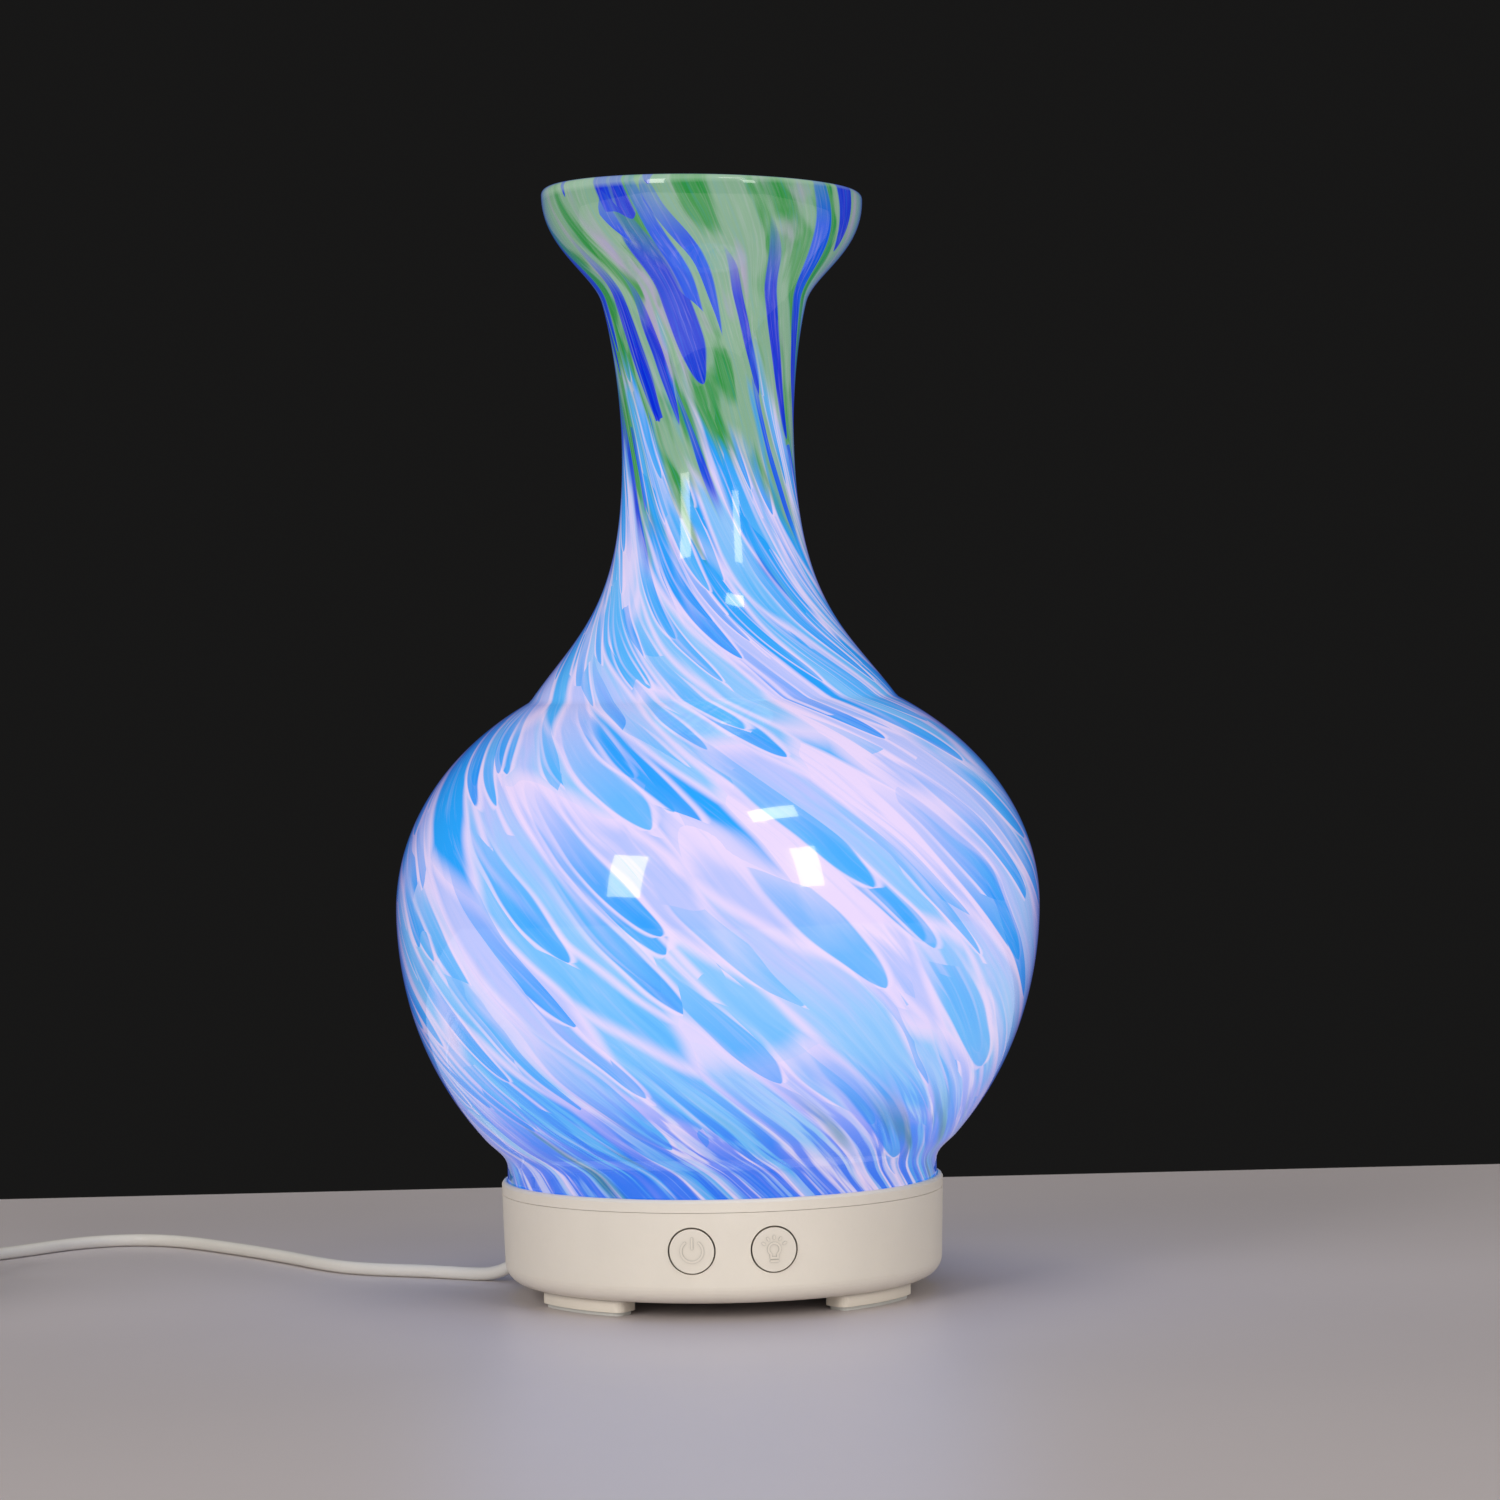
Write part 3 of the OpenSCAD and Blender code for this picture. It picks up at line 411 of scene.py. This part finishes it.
def ceramic():
    """Silvered piezo disc: brass edge, matte fired silver in the middle."""
    t = Tree("piezo_ceramic")
    at = t.place()
    fired = t.noise(at, 900, 4, 0.65)
    tarnish = t.noise(at, 120, 3, 0.6, 0.6)
    x, y, _ = t.split(at)
    away = t.vector("LENGTH", t.join(x, y, 0.0))
    silver = t.mix(t.range(tarnish, 0.4, 0.7, 0, 0.3), srgb(205, 204, 200), srgb(150, 140, 120))
    t.set(
        Base_Color=t.mix(t.range(away, 7.2 * MM, 7.5 * MM), silver, srgb(190, 160, 95)),
        Metallic=0.8,
        Roughness=t.range(fired, 0.3, 0.7, 0.35, 0.6),
        Normal=t.bump(fired, 0.02, 0.6),
    )
    return t.material


FINISHES = {
    "soft_silicone": lambda: plastic("soft_silicone", srgb(205, 205, 200), 0.68, 0.5, 0.03, 0.05),
    "housing_plastic": lambda: plastic("housing_plastic", srgb(238, 230, 216), 0.5, 0.3, 0.03, 0.025, 0.01),
    "cover_plastic": lambda: plastic("cover_plastic", srgb(238, 240, 242), 0.34, 0.4, 0.012, 0.02, 0, 0.3),
    "button_plastic": lambda: plastic("button_plastic", srgb(235, 227, 213), 0.42, 0.3, 0.018, 0.02, 0.01),
    "steel": lambda: metal("steel", srgb(190, 192, 196), 0.3),
    "dark_plastic": lambda: plastic("dark_plastic", srgb(34, 34, 37), 0.45, 0.3, 0.03, 0.12),
    "circuit_board": lambda: board("circuit_board", srgb(20, 92, 52), srgb(214, 190, 128), srgb(44, 130, 78)),
    "white_board": lambda: board(
        "white_board", srgb(232, 234, 232), srgb(200, 202, 206), srgb(214, 216, 214)
    ),
    "chip_black": lambda: plastic("chip_black", srgb(28, 28, 30), 0.6, 0.15, 0.02, 0.1),
    "ferrite": lambda: plastic("ferrite", srgb(52, 50, 52), 0.75, 0.35, 0.05, 0.2),
    "capacitor_sleeve": lambda: plastic(
        "capacitor_sleeve", srgb(38, 52, 96), 0.3, 0.5, 0.01, 0.08, 0, 0.4, 0.3
    ),
    "aluminium": lambda: metal("aluminium", srgb(200, 202, 206), 0.4, (1, 0.05, 1)),
    "socket_nylon": lambda: plastic("socket_nylon", srgb(236, 232, 216), 0.42, 0.4, 0.015, 0.05, 0.02),
    "contact_metal": lambda: metal("contact_metal", srgb(214, 206, 186), 0.24, (1, 1, 0.1)),
    "piezo_ceramic": ceramic,
    "led_package": lamp_package,
    "wire_red": lambda: wire("wire_red", srgb(190, 30, 34)),
    "wire_blue": lambda: wire("wire_blue", srgb(34, 74, 178)),
    "wire_orange": lambda: wire("wire_orange", srgb(222, 116, 30)),
    "cord_pvc": lambda: plastic("cord_pvc", srgb(226, 222, 214), 0.4, 0.6, 0.012, 0.03, 0.01, 0.15),
    "tie_black": lambda: plastic("tie_black", srgb(26, 26, 28), 0.5, 0.4, 0.03, 0.15),
    "adapter_plastic": lambda: plastic("adapter_plastic", srgb(228, 225, 220), 0.46, 0.35, 0.035, 0.03, 0.01),
}


def finish_nodes():
    """Gives every CAD node that stays, and the cord, the material of its slot."""
    made = {}
    for node in nodes.values():
        slot = node.data.materials[0].name.split(".")[0]
        if slot not in FINISHES:
            continue
        if slot not in made:
            made[slot] = FINISHES[slot]()
        for i in range(len(node.data.materials)):
            node.data.materials[i] = made[slot]
    cord.data.materials.append(made["cord_pvc"])


finish_nodes()


# ---------- glass: its shape, in millimetres ----------

WALL = 2.8
GLASS_Z = 25.2
CHAMFER = 0.4  # at the foot of the collar
COLLAR_R = 47.7
BULB_R = 71.7
BULB_Z = 86  # where the bulb is widest
BULB_DROP = 74.5  # the half height of the oval below there
BULB_RISE = 56  # and above
BULB_FOOT_Z = 35
BULB_HEAD_Z = 132
WAIST_R = 19.2
MOUTH_R = 35.6
MOUTH_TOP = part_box("glass_vase")[1][2] / MM
LIP_Z = MOUTH_TOP - WALL / 2
RING_GAP = 1.1
LIP_STEPS = 8
SIDES = 288
RIPPLE = 0.15
INWARD = 0.3  # so that a ripple never stands out past the true outline
LEAN = 0.66
SLOPE = 0.030  # how the mouth falls from its high side
HIGH_SIDE_X = -35.7
FLOW_R = 40  # the streaks are drawn on a tube of this radius
SWIRL = [
    (25, 0.020), (60, 0.0145), (100, 0.0135), (125, 0.018),
    (148, 0.026), (175, 0.020), (205, 0.014), (250, 0.010),
]  # heights, with the swirl's turn there in radians per millimetre along the wall


def bezier(p, n):
    """A cubic curve from its four points, as n + 1 points."""
    out = []
    for i in range(n + 1):
        t = i / n
        u = 1 - t
        weights = (u ** 3, 3 * u * u * t, 3 * u * t * t, t ** 3)
        out.append(Vector([sum(w * q[k] for w, q in zip(weights, p)) for k in (0, 1)]))
    return out


def bulb_arc(start, end, half_height, n):
    """Points on the bulb's oval from one angle to another, without the first."""
    angles = [start + (end - start) * i / n for i in range(1, n + 1)]
    return [Vector((BULB_R * math.cos(a), BULB_Z + half_height * math.sin(a))) for a in angles]


def evenly_spaced(line, gap):
    """Points along the line, about this gap apart, with both its ends."""
    total = sum((b - a).length for a, b in zip(line, line[1:]))
    count = int(total / gap)
    even, walked, k = [line[0]], 0.0, 0
    for i in range(1, count):
        goal = total * i / count
        while walked + (line[k + 1] - line[k]).length < goal:
            walked += (line[k + 1] - line[k]).length
            k += 1
        even.append(line[k].lerp(line[k + 1], (goal - walked) / (line[k + 1] - line[k]).length))
    return even + [line[-1]]


def glass_profile():
    """The glass's outer line from the collar to the mouth, as (radius, height), evenly spaced."""
    low = -math.asin((BULB_Z - BULB_FOOT_Z) / BULB_DROP)
    high = math.asin((BULB_HEAD_Z - BULB_Z) / BULB_RISE)
    foot_r = BULB_R * math.cos(low)
    head_r = BULB_R * math.cos(high)
    line = [Vector((COLLAR_R, GLASS_Z + CHAMFER)), Vector((COLLAR_R, GLASS_Z + 2))]
    line += bezier([(COLLAR_R, 29), (COLLAR_R, 31.6), (foot_r - 2, 33), (foot_r, BULB_FOOT_Z)], 20)
    line += bulb_arc(low, 0, BULB_DROP, 60)
    line += bulb_arc(0, high, BULB_RISE, 60)
    line += bezier([(head_r - 0.4, BULB_HEAD_Z + 0.6), (30, 147), (WAIST_R, 153), (WAIST_R, 189)], 60)
    line += bezier([(WAIST_R, 190), (WAIST_R, 198.4), (20.6, 211.5), (22.7, 220)], 30)
    line += bezier([(22.8, 220.4), (24.5, 226.9), (MOUTH_R, 232.5), (MOUTH_R, LIP_Z)], 40)
    return evenly_spaced(line, RING_GAP)


def swirl_rate(z):
    """The swirl's turn in radians per millimetre at a height."""
    for (z0, k0), (z1, k1) in zip(SWIRL, SWIRL[1:]):
        if z <= z1:
            return k0 + (k1 - k0) * max(0.0, (z - z0) / (z1 - z0))
    return SWIRL[-1][1]


def eased(x, a, b):
    """Runs from 0 at a to 1 at b, starting and ending gently."""
    t = min(max((x - a) / (b - a), 0.0), 1.0)
    return t * t * (3 - 2 * t)


def hand_blown(x, y, z):
    """The slight unevenness of glass shaped by hand: the mouth leans and slopes, and the wall ripples."""
    ripple = RIPPLE * math.sin(3 * math.atan2(y, x) + z * 0.05) + INWARD
    ripple *= eased(z, 40, 80) * (1 - eased(z, 225, 240))
    x, y = x * (1 - ripple / BULB_R), y * (1 - ripple / BULB_R)
    x -= LEAN * eased(z, 150, 240)
    z -= SLOPE * (x - HIGH_SIDE_X) * eased(z, 205, 240)
    return x, y, z


def wall_loop():
    """The wall's whole section, each point with the length and the swirl's turn at it:
    up the outside, over the lip and down the inside."""
    outer = glass_profile()
    last = len(outer) - 1
    tags = [(0.0, 0.0)]
    for a, b in zip(outer, outer[1:]):
        step = (b - a).length
        run, turn = tags[-1]
        tags.append((run + step, turn + step * swirl_rate(b.y)))
    loop = [(p.x, p.y, *tag) for p, tag in zip(outer, tags)]
    run, turn = tags[-1]
    for i in range(1, LIP_STEPS):
        a = math.pi * i / LIP_STEPS
        r = MOUTH_R - WALL / 2 * (1 - math.cos(a))
        loop.append((r, LIP_Z + WALL / 2 * math.sin(a), run + i * 0.5, turn))
    for i in range(last, -1, -1):
        along = (outer[min(i + 1, last)] - outer[max(i - 1, 0)]).normalized()
        loop.append((outer[i].x - WALL * along.y, outer[i].y + WALL * along.x, *tags[i]))
    loop.append((COLLAR_R - WALL + CHAMFER, GLASS_Z, 0, 0))
    loop.append((COLLAR_R - CHAMFER, GLASS_Z, 0, 0))
    return loop


def make_glass():
    """The blown vase: the wall's section turned round, with its flow kept for the streaks."""
    loop = wall_loop()
    points, flow, faces = [], [], []
    for r, z, run, turn in loop:
        for k in range(SIDES):
            phi = 2 * math.pi * k / SIDES
            x, y, h = hand_blown(r * math.sin(phi), -r * math.cos(phi), z)
            points.append((x * MM, y * MM, h * MM))
            flow.append((FLOW_R * math.cos(phi + turn), FLOW_R * math.sin(phi + turn), run))
    rings = len(loop)
    for i in range(rings):
        this, above = i * SIDES, (i + 1) % rings * SIDES
        for k in range(SIDES):
            after = (k + 1) % SIDES
            faces.append((this + k, this + after, above + after, above + k))
    mesh = bpy.data.meshes.new("swirled_glass")
    mesh.from_pydata(points, [], faces)
    mesh.attributes.new("flow", "FLOAT_VECTOR", "POINT").data.foreach_set(
        "vector", [v for p in flow for v in p]
    )
    mesh.shade_smooth()
    mesh.update()
    piece = bpy.data.objects.new("swirled_glass", mesh)
    bpy.context.scene.collection.objects.link(piece)
    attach(piece, "vase")
    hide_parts("glass_vase")
    return piece


# ---------- glass: its colours ----------

WHITE = srgb(236, 218, 255)
LILAC = srgb(188, 198, 255)
PALE = srgb(150, 202, 255)
SKY = srgb(100, 188, 255)
CYAN = srgb(42, 166, 255)
AZURE = srgb(20, 146, 255)
DEEP = srgb(10, 96, 246)
NAVY = srgb(6, 40, 222)
COBALT = srgb(70, 112, 236)
GREEN = srgb(40, 152, 62)
SAGE = srgb(138, 180, 148)
PALE_SAGE = srgb(158, 196, 170)
MAUVE = srgb(176, 168, 196)
FOOT_BLUE = srgb(4, 112, 255)
MOSS = srgb(26, 128, 120)
# painted highlight on the lip
LIP_HIGHLIGHT = srgb(196, 226, 200)
# painted rim shade of the glow
RIM_SHADE_BLUE = srgb(52, 96, 255)

# layers of leaf-shaped streaks: width in millimetres, length over width, seed, share of them kept
BULB_LEAVES = [(9, 4.4, 11, 0.6), (7, 5.0, 17, 0.5), (10.5, 4.0, 23, 0.55)]
BULB_STRENGTHS = [0.9, 0.7, 0.9]
NECK_LEAVES = [(15, 3.6, 41, 0.5), (10, 4.6, 43, 0.4)]
LEAF_HALF = 0.34  # half a leaf's width and half its length, in cells
LEAF_REACH = 0.46

# heights in metres between which one colour gives way to another
NECK_FROM, NECK_TO = 0.172, 0.200
WAIST_FROM, WAIST_TO = 0.125, 0.150
FOOT_TOP, FOOT_FULL = 0.060, 0.030
MOSS_TOP, MOSS_FULL = 0.052, 0.034
LIP_FROM, LIP_TO = 0.2425, 0.2436

# painted glow: how bright the glass glows, as if lit by a lamp inside, from the collar up to the mouth
GLOW_Z = (0.02, 0.25)
GLOW_LEVELS = [(0.0, 0.75), (0.12, 0.94), (0.3, 1.0), (0.55, 0.96), (0.75, 0.9), (1.0, 0.82)]


class Swirl:
    """The flow of the glass: millimetres round it, which stay the same along a streak, and along it."""

    def __init__(self, t):
        self.t = t
        flow = t.node("ShaderNodeAttribute", attribute_name="flow").outputs["Vector"]
        drift = t.noise(t.vector("MULTIPLY", flow, (1, 1, 0.45)), 0.05, colour=True)
        drift = t.vector("SUBTRACT", drift, (0.5, 0.5, 0.5))
        self.flow = t.vector("ADD", flow, t.vector("MULTIPLY", drift, (9, 9, 24)))
        x, y, _ = t.split(self.flow)
        self.round = t.vector("NORMALIZE", t.join(t.times(y, -1), x, 0))

    def scaled(self, width, stretch, seed):
        p = self.t.vector("MULTIPLY", self.flow, (1 / width, 1 / width, 1 / (width * stretch)))
        return self.t.vector("ADD", p, (seed * 7.31, seed * 3.77, seed * 5.13))

    def noise(self, width, stretch, seed, detail=2, rough=0.5, distortion=0.0):
        return self.t.noise(self.scaled(width, stretch, seed), 1, detail, rough, distortion)

    def cells(self, width, stretch, seed):
        """A tiling of long cells: each cell's random number, distance to its edge, and place along it."""
        t = self.t
        p = self.scaled(width, stretch, seed)
        v = t.voronoi(p, 1, "F1", 0.9)
        edge = t.voronoi(p, 1, "DISTANCE_TO_EDGE", 0.9)["Distance"]
        along = t.split(t.vector("SUBTRACT", p, v["Position"]))[2]
        return t.split(v["Color"])[0], edge, along

    def leaves(self, width, stretch, seed, keep, faded):
        """Separate streaks with a crisp lower end and a faded tail: mask, outline and a random number."""
        t = self.t
        p = self.scaled(width, stretch, seed)
        v = t.voronoi(p, 1, "F1", 0.7)
        away = t.vector("SUBTRACT", p, v["Position"])
        across = t.math("ABSOLUTE", t.vector("DOT_PRODUCT", away, self.round))
        place = t.range(t.split(away)[2], -LEAF_REACH, LEAF_REACH)
        chance, size, tone = t.split(v["Color"])
        tail = t.math("POWER", t.math("SUBTRACT", 1, place, clamp=True), 0.75)
        form = t.times(t.math("POWER", place, 0.5), tail)
        form = t.times(form, t.range(size, 0, 1, 1.5, 2.7))
        inside = t.math("SUBTRACT", form, t.math("DIVIDE", across, LEAF_HALF))
        kept = t.math("LESS_THAN", chance, keep)
        mask = t.times(t.range(inside, 0, 0.14, smooth=True), t.range(place, faded, 1.0, 1, 0))
        rim = t.times(t.range(inside, -0.34, -0.04, smooth=True), t.range(inside, 0.16, 0.0, smooth=True))
        rim = t.times(rim, t.range(place, 0.3, 0.9, 1, 0))
        return t.times(mask, kept), t.times(rim, kept), tone


def bulb_colour(t, s, streaks, height):
    """Long pale cells from white to blue, with blue leaves over them, and bluer towards the waist."""
    chance, edge, along = s.cells(9.5, 4.6, 2)
    pick = t.add(chance, t.range(s.noise(24, 2.2, 8), 0.3, 0.7, -0.05, 0.1))
    pick = t.add(pick, t.range(along, -0.5, 0.5, 0.14, -0.14))
    pick = t.add(pick, t.range(height, WAIST_FROM, WAIST_TO, 0, 0.22, smooth=True))
    pick = t.add(pick, t.range(streaks, 0.3, 0.7, -0.09, 0.09))
    bulb = t.ramp(pick, [
        (0.0, WHITE), (0.02, WHITE), (0.1, LILAC), (0.34, LILAC), (0.55, PALE), (0.8, SKY), (1.0, CYAN),
    ])
    bulb = t.mix(t.range(edge, 0.0, 0.12, 0.8, 0, smooth=True), bulb, WHITE)
    for layer, strength in zip(BULB_LEAVES, BULB_STRENGTHS):
        mask, rim, tone = s.leaves(*layer, faded=0.2)
        leaf = t.ramp(tone, [(0.0, SKY), (0.5, CYAN), (1.0, AZURE)])
        leaf = t.mix(t.range(streaks, 0.36, 0.66, 0, 0.45), leaf, SKY)
        bulb = t.mix(t.times(mask, strength), bulb, leaf)
        bulb = t.mix(t.times(rim, 0.8), bulb, WHITE)
    return bulb


def neck_colour(t, s, streaks):
    """Grey-green and mauve haze with green patches and navy leaves."""
    haze = s.noise(11, 2.6, 29, 2, 0.55)
    patch = s.noise(15, 2.3, 31, 3, 0.5, 0.4)
    neck = t.ramp(haze, [(0.0, MAUVE), (0.3, MAUVE), (0.42, SAGE), (1.0, SAGE)])
    neck = t.mix(t.range(patch, 0.46, 0.55, 0, 0.95, smooth=True), neck, GREEN)
    neck = t.mix(t.range(streaks, 0.4, 0.7, 0, 0.25), neck, PALE_SAGE)
    for layer in NECK_LEAVES:
        mask, rim, tone = s.leaves(*layer, faded=0.6)
        leaf = t.ramp(tone, [(0, NAVY), (0.6, NAVY), (1, DEEP)])
        leaf = t.mix(t.range(streaks, 0.46, 0.7, 0, 0.4), leaf, COBALT)
        neck = t.mix(t.times(mask, 0.95), neck, leaf)
        neck = t.mix(t.times(rim, 0.3), neck, SAGE)
    return neck


def foot_and_lip(t, s, streaks, height, colour):
    """Deep blue and some green just above the collar, and a pale lip that is a painted highlight."""
    foot = t.range(height, FOOT_TOP, FOOT_FULL, 0, 0.9, smooth=True)
    foot = t.times(foot, t.range(streaks, 0.42, 0.54, smooth=True))
    colour = t.mix(foot, colour, FOOT_BLUE)
    moss = t.range(s.noise(7, 8, 71), 0.56, 0.66, smooth=True)
    moss = t.times(moss, t.range(height, MOSS_TOP, MOSS_FULL, 0, 0.7, smooth=True))
    colour = t.mix(moss, colour, MOSS)
    # painted highlight: the top of the lip turns pale
    return t.mix(t.range(height, LIP_FROM, LIP_TO, 0, 0.4), colour, LIP_HIGHLIGHT)


def glass_material():
    """Milky glass with a painted glow that stands in for a lamp inside, and blown-in streaks of colour that
    follow the swirl.
    """
    t = Tree("tinted_glass")
    s = Swirl(t)
    height = t.split(t.place())[2]
    streaks = s.noise(2.6, 20, 3, 3, 0.6)
    hairs = s.noise(0.9, 50, 5, 2, 0.6)
    ragged = t.add(height, t.range(s.noise(10, 3.4, 51), 0.3, 0.7, -0.030, 0.030))
    share = t.range(ragged, NECK_FROM, NECK_TO, smooth=True)
    colour = t.mix(share, bulb_colour(t, s, streaks, height), neck_colour(t, s, streaks))
    colour = t.mix(t.range(hairs, 0.52, 0.75, 0, 0.16), colour, WHITE)
    colour = t.mix(t.range(hairs, 0.46, 0.28, 0, 0.12), colour, CYAN)
    colour = foot_and_lip(t, s, streaks, height, colour)

    # painted glow: the glass gives off its own colour as light, dimmer near the collar and the mouth, in
    # place of a lamp inside
    glow_level = t.ramp(t.range(height, *GLOW_Z), [(place, (tone,) * 3) for place, tone in GLOW_LEVELS])
    painted_glow = t.mix(1.0, colour, glow_level, "MULTIPLY")
    # painted rim shade: towards the silhouette the glow turns a darker, deeper blue
    facing = t.node("ShaderNodeLayerWeight")
    facing.inputs["Blend"].default_value = 0.25
    painted_rim_shade = t.range(facing.outputs["Facing"], 0.4, 0.85, smooth=True)
    painted_glow = t.mix(painted_rim_shade, painted_glow, t.mix(0.7, painted_glow, RIM_SHADE_BLUE))
    wave = s.noise(6, 5, 61)
    t.set(
        Base_Color=t.mix(0.88, colour, (0, 0, 0)),
        Roughness=t.range(wave, 0.3, 0.7, 0.06, 0.14),
        Emission_Color=painted_glow,
        Emission_Strength=0.96,
        Coat_Weight=1.0,
        Coat_Roughness=0.02,
        Normal=t.bump(t.add(wave, t.times(hairs, 0.05)), 0.12, 0.5),
    )
    return t.material


glass = make_glass()
glass.data.materials.append(glass_material())


# ---------- table and light, in metres ----------

TABLE_X = (-1.0, 1.0)
TABLE_Y = (-1.1, 0.22)
TABLE_CORNER = 0.02
TABLE_THICK = 0.03
LAMP_AIM = (0, 0, 0.11)
LAMP_COLOUR = (1, 0.975, 0.94)
SKY_COLOUR = (0.5, 0.49, 0.48, 1)
SKY_STRENGTH = 0.018

# each lamp's name, place, size, the brightness of its face, and whether it shows in reflections
LAMPS = [
    ("key_left", (-0.86, -1.25, 0.69), (0.34, 0.62), 4.6, True),
    ("key_right", (0.84, -1.35, 0.82), (0.26, 0.62), 4.2, True),
    ("key_top", (0.48, -0.95, 1.5), (0.44, 0.18), 5.5, True),
    ("panel_left", (-1.9, -1.9, 1.1), (1.6, 1.6), 3.1, False),
    ("panel_right", (1.9, -1.9, 1.1), (1.6, 1.6), 2.4, False),
    ("panel_front", (-0.1, -2.2, 0.45), (1.6, 1.0), 2.2, False),
    ("panel_above", (0.0, -0.3, 2.6), (1.6, 1.6), 2.2, False),
    ("panel_back_left", (-2.0, 1.7, 1.6), (1.4, 1.4), 1.6, False),
    ("panel_back_right", (2.0, 1.7, 1.6), (1.4, 1.4), 1.6, False),
]


def make_table():
    """A plain pale table top with rounded corners, which ends a little way behind the object."""
    (x0, x1), (y0, y1) = TABLE_X, TABLE_Y
    outline = []
    for cx, cy, start in ((x1, y0, -90), (x1, y1, 0), (x0, y1, 90), (x0, y0, 180)):
        cx += TABLE_CORNER if cx < 0 else -TABLE_CORNER
        cy += TABLE_CORNER if cy < 0 else -TABLE_CORNER
        for i in range(9):
            a = math.radians(start + 90 * i / 8)
            outline.append((cx + TABLE_CORNER * math.cos(a), cy + TABLE_CORNER * math.sin(a)))
    n = len(outline)
    points = [(x, y, 0) for x, y in outline] + [(x, y, -TABLE_THICK) for x, y in outline]
    faces = [tuple(range(n)), tuple(range(2 * n - 1, n - 1, -1))]
    faces += [(i, i + n, (i + 1) % n + n, (i + 1) % n) for i in range(n)]
    mesh = bpy.data.meshes.new("table")
    mesh.from_pydata(points, [], faces)
    table = bpy.data.objects.new("table", mesh)
    bpy.context.scene.collection.objects.link(table)
    t = Tree("table")
    grain = t.noise(t.place(), 60, 4, 0.6)
    t.set(
        Base_Color=t.mix(t.range(grain, 0.3, 0.7, 0, 0.05), srgb(206, 198, 199), srgb(192, 185, 186)),
        Roughness=0.42,
    )
    mesh.materials.append(t.material)


def softbox(name, at, size, radiance, shine):
    """A rectangular lamp, by the brightness of its face."""
    data = bpy.data.lights.new(name, "AREA")
    data.shape = "RECTANGLE"
    data.size, data.size_y = size
    data.energy = radiance * math.pi * size[0] * size[1]
    data.color = LAMP_COLOUR
    light = bpy.data.objects.new(name, data)
    light.location = at
    light.visible_glossy = shine
    light.rotation_euler = (Vector(LAMP_AIM) - Vector(at)).to_track_quat("-Z", "Y").to_euler()
    bpy.context.scene.collection.objects.link(light)


def make_light():
    """Three lamps that show as highlights in the glass, soft panels round them and a dark backdrop."""
    world = bpy.data.worlds.new("studio")
    world.use_nodes = True
    sky = world.node_tree.nodes["Background"]
    sky.inputs["Color"].default_value = SKY_COLOUR
    sky.inputs["Strength"].default_value = SKY_STRENGTH
    bpy.context.scene.world = world
    for lamp in LAMPS:
        softbox(*lamp)


make_table()
make_light()
